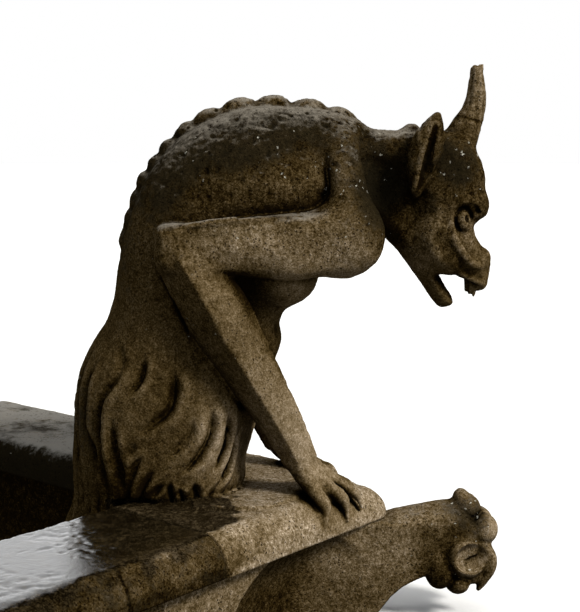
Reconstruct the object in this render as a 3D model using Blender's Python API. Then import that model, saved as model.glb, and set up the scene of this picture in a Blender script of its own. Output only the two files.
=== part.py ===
"""Weathered stone gargoyle: a crouching one-horned demon on the corner of a parapet.

The figure and the corner coping block are one stone. The coping runs on from the block on both sides, cut square.
Under it are the parapet's walls, its corner stone and a bracket carved as a curled leaf.

Metres, +Z up. +X is the way the creature faces, the corner's outward diagonal; +Y is the creature's left.
The origin is on the underside, below the corner of the wall. The stones are described by signed distances:
x, y, z in the functions are measured from the coping's flat top, which is BASE above the underside.
"""
import math
import bpy
import bmesh
import numpy as np

F = np.float32

# ------------------------------------------------------------------ small tools
def smoothstep(a, b, t):
    t = np.clip((t - a) / (b - a), 0.0, 1.0)
    return t * t * (3.0 - 2.0 * t)

def smin(a, b, k):
    h = np.maximum(k - np.abs(a - b), 0.0) / k
    return np.minimum(a, b) - h * h * k * 0.25

def smax(a, b, k):
    return -smin(-a, -b, k)

def spline(points, n=8, closed=False):
    """Catmull-Rom curve through points, n steps a span."""
    p = np.asarray(points, float)
    m = len(p)
    out = []
    spans = m if closed else m - 1
    for i in range(spans):
        if closed:
            a, b, c, d = p[(i - 1) % m], p[i], p[(i + 1) % m], p[(i + 2) % m]
        else:
            a, b, c, d = p[max(i - 1, 0)], p[i], p[i + 1], p[min(i + 2, m - 1)]
        for j in range(n):
            t = j / n
            out.append(0.5 * (2 * b + (c - a) * t + (2 * a - 5 * b + 4 * c - d) * t * t + (3 * b - a - 3 * c + d) * t ** 3))
    if not closed:
        out.append(p[-1])
    return np.array(out)

class Sheet:
    """A map over the side view: a value for every (x, z), read by bilinear interpolation."""
    def __init__(s, lo, hi, step):
        s.lo, s.step = np.array(lo, float), step
        s.n = [int(round((hi[i] - lo[i]) / step)) + 1 for i in (0, 1)]
        gx = lo[0] + step * np.arange(s.n[0])
        gz = lo[1] + step * np.arange(s.n[1])
        s.X, s.Z = np.meshgrid(gx, gz, indexing="ij")
        s.v = np.zeros(s.n)
    def at(s, x, z):
        u = np.clip((x - s.lo[0]) / s.step, 0, s.n[0] - 1.001)
        w = np.clip((z - s.lo[1]) / s.step, 0, s.n[1] - 1.001)
        i, j = u.astype(np.int32), w.astype(np.int32)
        u, w = (u - i).astype(F), (w - j).astype(F)
        v = s.v
        return (v[i, j] * (1 - u) + v[i + 1, j] * u) * (1 - w) + (v[i, j + 1] * (1 - u) + v[i + 1, j + 1] * u) * w

def outline(points, lo, hi, step, n=6, sharp=False):
    """Signed distance to a closed outline in the side view, negative inside."""
    s = Sheet(lo, hi, step)
    c = np.asarray(points, float) if sharp else spline(points, n, True)
    best = np.full(s.X.shape, 1e9)
    inside = np.zeros(s.X.shape, bool)
    for a, b in zip(c, np.roll(c, -1, 0)):
        e = b - a
        l2 = float(e @ e)
        if l2 < 1e-12:
            continue
        px, pz = s.X - a[0], s.Z - a[1]
        t = np.clip((px * e[0] + pz * e[1]) / l2, 0, 1)
        best = np.minimum(best, (px - t * e[0]) ** 2 + (pz - t * e[1]) ** 2)
        if a[1] != b[1]:
            cross = ((a[1] > s.Z) != (b[1] > s.Z)) & (s.X < a[0] + (s.Z - a[1]) * e[0] / e[1])
            inside ^= cross
    s.v = np.where(inside, -1.0, 1.0) * np.sqrt(best)
    s.v = s.v.astype(F)
    return s

def pillow(f2, y, B, R, n=2.0):
    """Body with side outline f2, half-width B, rounded over the width R inside the outline."""
    q1 = np.maximum(R + f2, 0.0) / R
    q2 = np.abs(y) / B
    if n == 2.0:
        k0 = np.sqrt(q1 * q1 + q2 * q2) + 1e-6
        g = np.sqrt((q1 / R) ** 2 + (q2 / B) ** 2) + 1e-6
        return k0 * (k0 - 1.0) / g
    k0 = (q1 ** n + q2 ** n + 1e-9) ** (1.0 / n)
    g = np.sqrt(((q1 + 1e-6) ** (n - 1) / R) ** 2 + ((q2 + 1e-6) ** (n - 1) / B) ** 2) / k0 ** (n - 1) + 1e-6
    return (k0 - 1.0) / g

def ell(x, y, z, c, r, tilt=0.0, yaw=0.0, roll=0.0):
    """Ellipsoid; tilt turns it in the side view (about Y, nose down positive), yaw about Z, roll about X."""
    x, y, z = x - c[0], y - c[1], z - c[2]
    if tilt:
        ct, st = math.cos(tilt), math.sin(tilt)
        x, z = x * ct - z * st, x * st + z * ct
    if yaw:
        ct, st = math.cos(yaw), math.sin(yaw)
        x, y = x * ct + y * st, -x * st + y * ct
    if roll:
        ct, st = math.cos(roll), math.sin(roll)
        y, z = y * ct + z * st, -y * st + z * ct
    a, b, d = x / r[0], y / r[1], z / r[2]
    k0 = np.sqrt(a * a + b * b + d * d) + 1e-6
    k1 = np.sqrt((a / r[0]) ** 2 + (b / r[1]) ** 2 + (d / r[2]) ** 2) + 1e-6
    return k0 * (k0 - 1.0) / k1

def cone(x, y, z, a, b, ra, rb):
    a, b = np.asarray(a, float), np.asarray(b, float)
    e = b - a
    px, py, pz = x - a[0], y - a[1], z - a[2]
    t = np.clip((px * e[0] + py * e[1] + pz * e[2]) / float(e @ e), 0, 1)
    return np.sqrt((px - t * e[0]) ** 2 + (py - t * e[1]) ** 2 + (pz - t * e[2]) ** 2) - (ra + (rb - ra) * t)

def rope(x, y, z, points, radii, n=4):
    """Round tube of changing radius along a smooth curve."""
    c = spline([list(p) + [r] for p, r in zip(points, radii)], n)
    d = None
    for a, b in zip(c[:-1], c[1:]):
        v = cone(x, y, z, a[:3], b[:3], a[3], b[3])
        d = v if d is None else np.minimum(d, v)
    return d

def bar(x, y, z, points, sizes, side, n=4, p=2.0):
    """Limb with an oval or lozenge section: sizes are (half-depth in the plane across side, half-width along side)."""
    c = spline([list(q) + list(s) for q, s in zip(points, sizes)], n)
    d = None
    side = np.asarray(side, float)
    for a, b in zip(c[:-1], c[1:]):
        e = b[:3] - a[:3]
        L = np.linalg.norm(e)
        T = e / L
        S = side - T * (side @ T)
        S /= np.linalg.norm(S)
        N = np.cross(S, T)
        qx, qy, qz = x - a[0], y - a[1], z - a[2]
        w = qx * T[0] + qy * T[1] + qz * T[2]
        t = np.clip(w / L, 0, 1)
        w = w - t * L
        u = qx * N[0] + qy * N[1] + qz * N[2]
        v = qx * S[0] + qy * S[1] + qz * S[2]
        ru = a[3] + (b[3] - a[3]) * t
        rv = a[4] + (b[4] - a[4]) * t
        rw = np.minimum(ru, rv)
        au, av, aw = np.abs(u) / ru, np.abs(v) / rv, np.abs(w) / rw
        if p == 2.0:
            k0 = np.sqrt(au * au + av * av + aw * aw) + 1e-6
            k1 = np.sqrt((au / ru) ** 2 + (av / rv) ** 2 + (aw / rw) ** 2) + 1e-6
            g = k0 * (k0 - 1) / k1
        else:
            k0 = (au ** p + av ** p + aw ** p + 1e-9) ** (1 / p)
            k1 = np.sqrt(((au + 1e-5) ** (p - 1) / ru) ** 2 + ((av + 1e-5) ** (p - 1) / rv) ** 2 + ((aw + 1e-5) ** (p - 1) / rw) ** 2) / k0 ** (p - 1) + 1e-6
            g = (k0 - 1) / k1
        d = g if d is None else np.minimum(d, g)
    return d

# ------------------------------------------------------------------ polygoniser
def voxels(field, lo, hi, h, safety=1.7):
    """Samples field on a grid of step h, finely only near the surface. y starts at 0 and is mirrored."""
    n = [int(math.ceil((hi[i] - lo[i]) / h / 8)) * 8 for i in range(3)]
    vol = np.full(n, 1.0, F)
    lo = np.asarray(lo, float)
    step = 8
    g = np.stack(np.meshgrid(*[np.arange(0, k, 8) for k in n], indexing="ij"), -1).reshape(-1, 3)
    total = 0
    while True:
        c = (lo + (g + (step - 1) / 2.0) * h).astype(F)
        d = field(c[:, 0], c[:, 1], c[:, 2])
        total += len(c)
        near = np.abs(d) < (step * 0.866 + 1.2) * h * (safety if step > 2 else 1.35)
        far = g[~near]
        fd = d[~near]
        # fill far blocks with their centre's value
        if step == 8:
            v = vol.reshape(n[0] // 8, 8, n[1] // 8, 8, n[2] // 8, 8)
            v[far[:, 0] // 8, :, far[:, 1] // 8, :, far[:, 2] // 8, :] = fd[:, None, None, None]
        else:
            for i in range(step):
                for j in range(step):
                    for k in range(step):
                        vol[far[:, 0] + i, far[:, 1] + j, far[:, 2] + k] = fd
        g = g[near]
        if step == 2:
            break
        step //= 2
        o = np.stack(np.meshgrid([0, step], [0, step], [0, step], indexing="ij"), -1).reshape(-1, 3)
        g = (g[:, None, :] + o[None]).reshape(-1, 3)
    o = np.stack(np.meshgrid([0, 1], [0, 1], [0, 1], indexing="ij"), -1).reshape(-1, 3)
    g = (g[:, None, :] + o[None]).reshape(-1, 3)
    for s in range(0, len(g), 400000):
        q = g[s:s + 400000]
        c = (lo + q * h).astype(F)
        vol[q[:, 0], q[:, 1], q[:, 2]] = field(c[:, 0], c[:, 1], c[:, 2])
        total += len(c)
    return vol, total

def surface_nets(vol, lo, h):
    """One vertex a mixed cell, one quad a crossed edge."""
    ins = vol < 0
    s = ins.astype(np.int8)
    c = (s[:-1, :-1, :-1] + s[1:, :-1, :-1] + s[:-1, 1:, :-1] + s[:-1, :-1, 1:] + s[1:, 1:, :-1] + s[1:, :-1, 1:] + s[:-1, 1:, 1:] + s[1:, 1:, 1:])
    cells = np.argwhere((c > 0) & (c < 8))
    idx = np.full(c.shape, -1, np.int32)
    idx[cells[:, 0], cells[:, 1], cells[:, 2]] = np.arange(len(cells))
    corner = [(i, j, k) for i in (0, 1) for j in (0, 1) for k in (0, 1)]
    val = {q: vol[cells[:, 0] + q[0], cells[:, 1] + q[1], cells[:, 2] + q[2]] for q in corner}
    acc = np.zeros((len(cells), 3))
    cnt = np.zeros(len(cells))
    for q in corner:
        for ax in range(3):
            if q[ax]:
                continue
            r = list(q); r[ax] = 1; r = tuple(r)
            a, b = val[q], val[r]
            m = (a < 0) != (b < 0)
            t = np.where(m, a / np.where(m, a - b, 1.0), 0)
            for k in range(3):
                acc[:, k] += np.where(m, q[k] + (t if k == ax else 0), 0)
            cnt += m
    v = np.asarray(lo) + (cells + acc / cnt[:, None]) * h
    quads = []
    for ax in range(3):
        o = [(1, 2), (2, 0), (0, 1)][ax]
        sl0 = [slice(None)] * 3; sl1 = [slice(None)] * 3
        sl0[ax] = slice(0, -1); sl1[ax] = slice(1, None)
        m = ins[tuple(sl0)] != ins[tuple(sl1)]
        e = np.argwhere(m)
        ok = (e[:, o[0]] > 0) & (e[:, o[1]] > 0) & (e[:, o[0]] < c.shape[o[0]]) & (e[:, o[1]] < c.shape[o[1]])
        e = e[ok]
        u = np.zeros(3, int); u[o[0]] = 1
        w = np.zeros(3, int); w[o[1]] = 1
        q = [e - u - w, e - w, e, e - u]
        q = np.stack([idx[p[:, 0], p[:, 1], p[:, 2]] for p in q], 1)
        out = ins[e[:, 0], e[:, 1], e[:, 2]]
        q[~out] = q[~out][:, ::-1]
        quads.append(q)
    return v, np.concatenate(quads)

# ================================================================ the parapet
R2 = math.sqrt(2.0)
TOP_OUT, TOP_IN = 0.131, -0.172      # the flat top's edges, measured across a run
NOSE_W, NOSE_H = 0.075, 0.090        # outer roll
LIP_W, LIP_H = 0.048, 0.080          # inner roll
COP_H = 0.100
WALL_OUT, WALL_IN = 0.150, -0.170
BASE = 0.380
JOINT = -0.470
WALL_JOINT = -0.625
NEAR_L, FAR_L = 1.10, 1.42
PIER = -0.435
GAP = 0.0003

def quad(e1, e2):
    return np.minimum(np.maximum(e1, e2), 0) + np.hypot(np.maximum(e1, 0), np.maximum(e2, 0))

def across(x, y):
    return (x - y) / R2, (x + y) / R2

def oval(e, z, w, h):
    zz = np.maximum(z + h, 0.0)
    k0 = np.sqrt((e / w) ** 2 + (zz / h) ** 2) + 1e-6
    g = np.sqrt((e / w / w) ** 2 + (zz / h / h) ** 2) + 1e-6
    return k0 * (k0 - 1) / g

def section(o, i, z):
    """Coping section. o: distance outside the flat top's outer edge; i: the same at its inner edge."""
    do = np.where(o > 0, oval(o, z, NOSE_W, NOSE_H), z)
    di = np.where(i > 0, oval(i, z, LIP_W, LIP_H), z)
    return smax(np.maximum(do, di), -COP_H - z, 0.006)

def worn_corner(x, z):
    """How far the top of the roll is worn down toward the tip of the corner."""
    return .021 * smoothstep(.085, .205, x) * smoothstep(-.10, -.03, z)

def coping_all(x, y, z):
    c1, c2 = across(x, y)
    z = z + worn_corner(x, z)
    return section(quad(c1 - TOP_OUT, c2 - TOP_OUT), TOP_IN - np.maximum(c1, c2), z)

def corner(x, y, z):
    c1, c2 = across(x, y)
    return smax(coping_all(x, y, z), JOINT - np.minimum(c1, c2), 0.006)

def run(x, y, z, near=True):
    c1, c2 = across(x, y)
    if not near:
        c1, c2 = c2, c1
    d = section(c1 - TOP_OUT, TOP_IN - c1, z)
    L = NEAR_L if near else FAR_L
    return smax(d, np.maximum(-L - c2, c2 - (JOINT - GAP)), 0.006)

def wall(x, y, z, near=True):
    c1, c2 = across(x, y)
    if not near:
        c1, c2 = c2, c1
    L = NEAR_L if near else FAR_L
    d = smax(np.maximum(c1 - WALL_OUT, WALL_IN - c1), np.maximum(-L - c2, c2 - (WALL_JOINT - GAP)), 0.006)
    return smax(d, np.maximum(-BASE - z, z + COP_H + GAP), 0.006)

# bracket outline (side view) under the corner
BRACKET = [(-.10, -.102), (.18, -.1003), (.262, -.1003), (.285, -.086), (.34, -.076), (.40, -.067), (.455, -.062), (.50, -.10), (.50, -.19), (.44, -.222), (.377, -.252), (.335, -.268), (.300, -.285), (.266, -.312), (.232, -.355), (.221, -.40), (.222, -.45), (-.10, -.45)]

def setup_base():
    m = {}
    m["bracket"] = outline(BRACKET, (-.2, -.5), (.62, .06), 0.004, sharp=True)
    return m

def leaf(x, a, z):
    """The crocket: a curled leaf with a lobe standing up, one hanging in front, and a cupped lobe on each side."""
    d = ell(x, a, z, (.458, .0, -.165), (.070, .072, .080))
    # top lobe and its crest
    d = smin(d, ell(x, a, z, (.482, .0, -.084), (.042, .056, .036), tilt=.55), 0.016)
    d = smin(d, ell(x, a, z, (.467, .0, -.056), (.021, .030, .022), tilt=.3), 0.008)
    # front lobe
    d = smin(d, ell(x, a, z, (.519, .032, -.138), (.044, .050, .044), tilt=.15), 0.006)
    # lower mass, and the ball behind the cup
    d = smin(d, ell(x, a, z, (.474, .040, -.212), (.060, .060, .062)), 0.015)
    d = smin(d, ell(x, a, z, (.402, .046, -.244), (.042, .046, .054)), 0.006)
    d = smin(d, ell(x, a, z, (.452, .040, -.281), (.034, .042, .034)), 0.006)
    # the leaf's free edge, down to a small hook
    d = smin(d, rope(x, a, z, [(.516, .052, -.172), (.534, .054, -.205), (.536, .050, -.240), (.520, .046, -.282), (.510, .044, -.304)], [.018, .020, .021, .013, .006], 4), 0.010)
    d = smin(d, ell(x, a, z, (.492, .030, -.262), (.034, .038, .030)), 0.008)
    # rough pocket under the top lobe
    d = smax(d, -ell(x, a, z, (.450, .103, -.128), (.046, .042, .033), tilt=-.1), 0.004)
    # the cup: its rim stands out on the inner side and dies away outwards
    d = smin(d, ell(x, a, z, (.460, .046, -.204), (.050, .062, .058)), 0.006)
    return smax(d, -ell(x, a, z, (.490, .113, -.203), (.059, .053, .048)), 0.0025)

def crocket(x, y, z, m):
    a = np.abs(y)
    c1, c2 = across(x, y)
    # corner stone under the coping: wall, pier in the inner corner, scooped out beside the bracket
    out = quad(c1 - WALL_OUT, c2 - WALL_OUT)
    L = np.maximum(out, WALL_IN - np.maximum(c1, c2))
    P = np.maximum(np.maximum(c1, c2) - WALL_OUT, PIER - np.minimum(c1, c2))
    d = np.minimum(L, P)
    d = np.maximum(d, WALL_JOINT - np.minimum(c1, c2))
    cn, cf = np.maximum(c1, c2), np.minimum(c1, c2)   # across and along, on whichever side the point is
    scoop = ell(cn, cf, z, (.175, -.115, -.360), (.130, .322, .262))
    d = smax(d, -scoop, 0.008)
    # its top is sloped off to both sides
    zz = z + .030 * (a / .070) ** 1.5 * smoothstep(-.24, -.14, z) * smoothstep(.24, .30, x)
    b = smax(a - .070, m["bracket"].at(x, zz), 0.010)
    b = np.maximum(b, .0 - x)
    d = smin(d, b, 0.05)
    d = smin(d, leaf(x, a, z), 0.010)
    top = np.where(x < .262, z + COP_H + GAP, z - 1.0)
    nose = coping_all(x, y, z)
    d = np.maximum(d, top)
    d = np.maximum(d, -(nose - .002))
    return np.maximum(d, -BASE - z)

# ================================================================ the figure
def boxed(x, y, z, lo, hi, f, pad=0.09):
    """f evaluated only near the box lo..hi; elsewhere the distance to the box."""
    dx = np.maximum(np.maximum(lo[0] - x, x - hi[0]), 0)
    dy = np.maximum(np.maximum(lo[1] - y, y - hi[1]), 0)
    dz = np.maximum(np.maximum(lo[2] - z, z - hi[2]), 0)
    d = np.sqrt(dx * dx + dy * dy + dz * dz)
    m = d < pad
    if m.any():
        d[m] = f(x[m], y[m], z[m])
    return d

def spread(lo, hi, step, pts, k, size):
    """A smooth map through a few (x, z, value...) notes; k picks the value."""
    s = Sheet(lo, hi, step)
    num = np.zeros(s.X.shape); den = np.zeros(s.X.shape)
    for p in pts:
        r2 = (s.X - p[0]) ** 2 + (s.Z - p[1]) ** 2
        w = np.exp(-r2 / (1.4 * size ** 2)) + 1e-5 / (r2 / size ** 2 + 1.0)
        num += w * p[k]; den += w
    s.v = (num / den).astype(F)
    return s

# ---------------------------------------------------------------- body outline (side view, x forward, z up)
BACK = [(-.575, -.17), (-.574, -.02), (-.574, .09), (-.567, .20), (-.555, .30), (-.519, .38), (-.480, .44), (-.460, .50), (-.448, .575), (-.434, .65), (-.414, .715),
        (-.389, .78), (-.358, .832), (-.318, .882), (-.268, .926), (-.207, .962), (-.14, .986), (-.07, .996), (0.0, .994), (.07, .984), (.13, .964), (.185, .937)]
FRONT = [(.20, .80), (.175, .72), (.125, .640), (.063, .562), (.012, .505), (-.014, .470), (-.028, .435), (-.024, .40), (-.028, .37), (-.053, .30), (-.075, .225), (-.099, .15), (-.117, .09), (-.121, .06), (-.122, .02), (-.13, -.03), (-.14, -.17)]
BODY_NOTES = [  # x, z, half-width, rounding width
    (-.34, -.10, .184, .200), (-.34, .05, .200, .215), (-.34, .20, .208, .225), (-.30, .35, .196, .20), (-.25, .48, .178, .17), (-.24, .60, .182, .15),
    (-.25, .72, .196, .14), (-.25, .84, .196, .12), (-.10, .90, .188, .11), (.02, .90, .165, .10), (.10, .85, .135, .10), (.02, .75, .190, .11), (.02, .60, .150, .10), (-.10, .45, .150, .13),
    (.16, .85, .10, .09), (.13, .70, .12, .09)]

# (the crown, the face and the jaw follow on from one another)
NECK_TOP = [(.02, .95), (.10, .960), (.16, .947), (.21, .937), (.27, .933), (.33, .931), (.39, .927), (.44, .921), (.475, .900)]
FACE = [(.488, .878), (.502, .850), (.511, .815), (.513, .785), (.517, .762), (.519, .738), (.518, .712), (.500, .697), (.487, .684), (.487, .668), (.494, .650), (.508, .630), (.522, .613), (.530, .600), (.533, .584), (.530, .556), (.524, .532), (.510, .519), (.490, .528), (.462, .541), (.432, .555), (.400, .564), (.392, .556)]
JAW = [(.400, .545), (.410, .527), (.424, .505), (.432, .490), (.434, .478), (.424, .469), (.408, .466), (.392, .472), (.358, .517), (.327, .56), (.295, .605), (.26, .642), (.20, .69), (.12, .73), (.05, .76)]
HEAD_NOTES = [
    (.05, .86, .09, .10), (.16, .90, .078, .060), (.25, .90, .076, .050), (.17, .82, .062, .06), (.25, .80, .048, .06), (.29, .74, .056, .06), (.22, .73, .060, .06), (.36, .82, .096, .08), (.42, .84, .097, .075), (.47, .84, .088, .065), (.42, .76, .098, .08), (.48, .76, .074, .05),
    (.44, .70, .080, .05), (.40, .66, .086, .055), (.36, .62, .070, .055), (.46, .63, .068, .045), (.485, .635, .062, .045), (.50, .60, .052, .04), (.52, .57, .046, .04), (.48, .56, .056, .04), (.41, .58, .070, .045),
    (.34, .56, .055, .045), (.40, .50, .040, .030), (.425, .485, .034, .024)]
UPPER_ARM = [(-.337, .699), (-.345, .660), (-.349, .618), (-.322, .594), (-.26, .588), (-.18, .583), (-.10, .574), (-.017, .566), (.06, .571), (.125, .571), (.172, .589), (.203, .618), (.216, .664), (.206, .715), (.160, .748), (.10, .742), (.007, .734), (-.116, .723), (-.238, .707)]
EAR = [(.306, .765), (.296, .80), (.290, .845), (.294, .885), (.308, .922), (.332, .953), (.366, .978), (.378, .955), (.385, .916), (.380, .878), (.360, .830), (.340, .790), (.322, .762)]

# locks of fur on the haunch: furrows as (distance round from the back's midline, height), depth, width
R_FUR = 0.225
def round_of(x, z):
    """How far round the haunch a point of its flank lies, from its x and z in the side view."""
    b = np.interp(z, [-.1, .1, .2, .3, .38, .44, .5], [-.575, -.574, -.566, -.55, -.515, -.484, -.463])
    f = np.interp(z, [-.1, .06, .15, .225, .3, .37, .455], [-.13, -.116, -.095, -.075, -.055, -.036, -.008])
    return math.acos(max(-1, min(1, ((b + f) / 2 - x) / ((f - b) / 2)))) * R_FUR

FURROWS = [  # side-view points, depth, half-width
    ([(-.380, .374), (-.380, .348), (-.386, .318), (-.403, .292), (-.430, .268)], .014, .011),
    ([(-.433, .400), (-.431, .372), (-.430, .340)], .005, .009),
    ([(-.310, .350), (-.305, .312), (-.307, .274), (-.324, .234), (-.367, .200), (-.408, .178)], .017, .014),
    ([(-.262, .226), (-.265, .198), (-.274, .170), (-.299, .141), (-.335, .112)], .012, .013),
    ([(-.226, .262), (-.214, .210), (-.221, .162), (-.244, .119), (-.272, .092), (-.300, .077)], .018, .012),
    ([(-.176, .228), (-.173, .185), (-.179, .138), (-.195, .097), (-.216, .066)], .018, .010),
    ([(-.156, .175), (-.162, .125), (-.170, .086), (-.186, .052), (-.205, .022)], .016, .009),
    ([(-.475, .416), (-.512, .358), (-.532, .303), (-.542, .230), (-.545, .156), (-.541, .072), (-.538, -.006)], .014, .011),
    ([(-.482, .376), (-.503, .321), (-.515, .272), (-.523, .191), (-.507, .139), (-.501, .070), (-.498, .002)], .016, .011),
    ([(-.422, .376), (-.441, .317), (-.477, .258), (-.489, .185), (-.487, .112), (-.475, .049), (-.462, -.008)], .016, .013),
    ([(-.505, .385), (-.535, .310), (-.555, .235), (-.556, .165), (-.552, .090), (-.556, .0)], .016, .010),
    ([(-.446, .236), (-.452, .185), (-.447, .135), (-.438, .085), (-.438, .030), (-.446, -.010)], .013, .012),
    ([(-.382, .132), (-.404, .096), (-.420, .050), (-.428, .003), (-.430, -.02)], .014, .010),
    ([(-.352, .104), (-.372, .068), (-.389, .036), (-.398, -.005), (-.402, -.028)], .013, .009),
    ([(-.330, .052), (-.352, .035), (-.372, .015), (-.380, -.015)], .012, .009),
    ([(-.318, .060), (-.317, .030), (-.312, -.002), (-.318, -.035)], .015, .009),
    ([(-.296, .040), (-.288, .012), (-.284, -.030)], .013, .008),
    ([(-.262, .055), (-.252, .025), (-.250, -.005), (-.256, -.035)], .014, .009),
    ([(-.395, .160), (-.418, .135), (-.438, .118)], .008, .012),
]

def fur_sheet():
    s = Sheet((-.02, -.14), (math.pi * R_FUR + .02, .52), .003)
    v = np.zeros(s.X.shape)
    # broad pleats that follow the flow: straight down, then swept back
    sweep = .085 * smoothstep(.24, -.02, s.Z) * smoothstep(.20, .42, s.X) - .02 * np.sin(s.Z * 9.0)
    psi = s.X + sweep + .010 * np.sin(s.Z * 17 + s.X * 6)
    pleat = np.abs(np.sin(psi * math.pi / .052)) ** 0.8
    v += (0.0012 - 0.0024 * pleat) * smoothstep(.40, .22, s.Z) * (0.6 + 0.4 * smoothstep(.15, .0, s.Z))
    for pts, depth, w in FURROWS:
        w = w * .84; depth = depth * .95
        p = spline([(round_of(x, z), z) for x, z in pts], 5)
        best = np.full(s.X.shape, 9.0); along = np.zeros(s.X.shape); side = np.zeros(s.X.shape)
        n = len(p) - 1
        for i in range(n):
            a, b = p[i], p[i + 1]
            e = b - a
            t = np.clip(((s.X - a[0]) * e[0] + (s.Z - a[1]) * e[1]) / (e @ e), 0, 1)
            qx, qz = s.X - a[0] - t * e[0], s.Z - a[1] - t * e[1]
            d = np.hypot(qx, qz)
            m = d < best
            best[m] = d[m]; along[m] = ((i + t) / n)[m]; side[m] = np.sign(e[0] * qz - e[1] * qx)[m]
        taper = smoothstep(0, .30, along) * smoothstep(1.0, .66, along)
        ww = w * (0.32 + 0.68 * taper)
        v = v + depth * taper * np.exp(-(best / (ww * np.where(side > 0, .72, 1.40))) ** 2)
        # the lock in front of a furrow stands proud
        v -= depth * taper * np.where(side > 0, 0.38, 0.10) * np.exp(-((best - 1.9 * w) / (1.1 * w)) ** 2)
    # the locks part into a fringe at the hem
    fringe = np.abs(np.sin(psi * math.pi / .034 + .5)) ** .7
    v += .009 * (1 - fringe) * smoothstep(.055, .0, s.Z)
    s.v = np.clip(v, -.012, .026).astype(F)
    return s

def setup(step=0.004):
    m = {}
    lo, hi = (-.70, -.25), (.36, 1.10)
    m["body"] = outline(BACK + FRONT, lo, hi, step)
    m["bodyB"] = spread(lo, hi, 0.012, BODY_NOTES, 2, .085)
    m["bodyR"] = spread(lo, hi, 0.012, BODY_NOTES, 3, .085)
    lo, hi = (-.10, .40), (.62, 1.02)
    c = list(map(tuple, spline(NECK_TOP + FACE, 5))) + list(map(tuple, spline(JAW, 5)))
    m["head"] = outline(c, lo, hi, 0.003, sharp=True)
    m["headB"] = spread(lo, hi, 0.008, HEAD_NOTES, 2, .036)
    m["headR"] = spread(lo, hi, 0.008, HEAD_NOTES, 3, .036)
    m["upper"] = outline(UPPER_ARM, (-.44, .48), (.32, .84), 0.003)
    m["ear"] = outline(EAR, (.24, .70), (.44, 1.03), 0.002)
    m["fur"] = fur_sheet()
    return m

def fur(x, a, z, m):
    b = np.interp(z, [-.1, .1, .2, .3, .38, .44, .5], [-.575, -.574, -.566, -.55, -.515, -.484, -.463]).astype(F)
    f = np.interp(z, [-.1, .06, .15, .225, .3, .37, .455], [-.13, -.116, -.095, -.075, -.055, -.036, -.008]).astype(F)
    th = np.arctan2(a / .20, ((b + f) / 2 - x) / ((f - b) / 2)) * R_FUR
    return m["fur"].at(th, z)

def body(x, a, z, m):
    d = pillow(m["body"].at(x, z), a, m["bodyB"].at(x, z), m["bodyR"].at(x, z), 2.2)
    k = z < .5
    if k.any():
        d[k] += fur(x[k], a[k], z[k], m)
    # hem: the locks hang over a hollow on the flank
    d = smax(d, -ell(x, a, z, (-.412, .196, -.006), (.066, .052, .021)), 0.006)
    # the long muscle beside the spine, and the short fold under it
    d = smin(d, rope(x, a, z, [(-.42, .060, .50), (-.395, .085, .620), (-.355, .092, .735), (-.288, .096, .835), (-.19, .096, .905), (-.07, .092, .938), (.04, .088, .934), (.11, .070, .915)], [.014, .030, .040, .046, .046, .044, .042, .028], 4), 0.026)
    d = smax(d, -rope(x, a, z, [(-.185, .150, .912), (-.150, .158, .900), (-.105, .166, .884), (-.070, .172, .872)], [.003, .011, .011, .003], 4), 0.012)
    # the ribs swell forward, over the arm
    d = smin(d, ell(x, a, z, (-.075, .110, .800), (.165, .092, .095)), 0.05)
    # chest under the arm
    d = smin(d, ell(x, a, z, (-.03, .075, .578), (.098, .105, .094), tilt=0.5), 0.03)
    # spine and its knobs
    line = spline(BACK[9:], 4)
    seg = np.sqrt(((line[1:] - line[:-1]) ** 2).sum(1))
    s = np.concatenate([[0], np.cumsum(seg)])
    total = s[-1]
    t = 0.01
    while t < total - 0.01:
        u = t / total
        kx, kz = np.interp(t, s, line[:, 0]), np.interp(t, s, line[:, 1])
        r = 0.013 + 0.018 * min(1, u / .5)
        gap = 0.052 + 0.040 * min(1.0, max(0.0, (u - 0.30) / 0.25)) - 0.014 * max(0.0, (u - 0.7) / 0.3)
        # length along the back follows the spacing, so that the knobs run into each other
        ang = math.atan2(np.interp(t + .01, s, line[:, 1]) - np.interp(t - .01, s, line[:, 1]), np.interp(t + .01, s, line[:, 0]) - np.interp(t - .01, s, line[:, 0]))
        d = smin(d, ell(x, a, z, (kx, 0, kz), (gap * .50, 0.025 + .010 * u, r * .88), tilt=-ang), 0.014)
        t += gap
    # the last knob, at the nape
    d = smin(d, ell(x, a, z, (.318, 0, .934), (.014, .020, .014)), 0.008)
    return d

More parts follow.
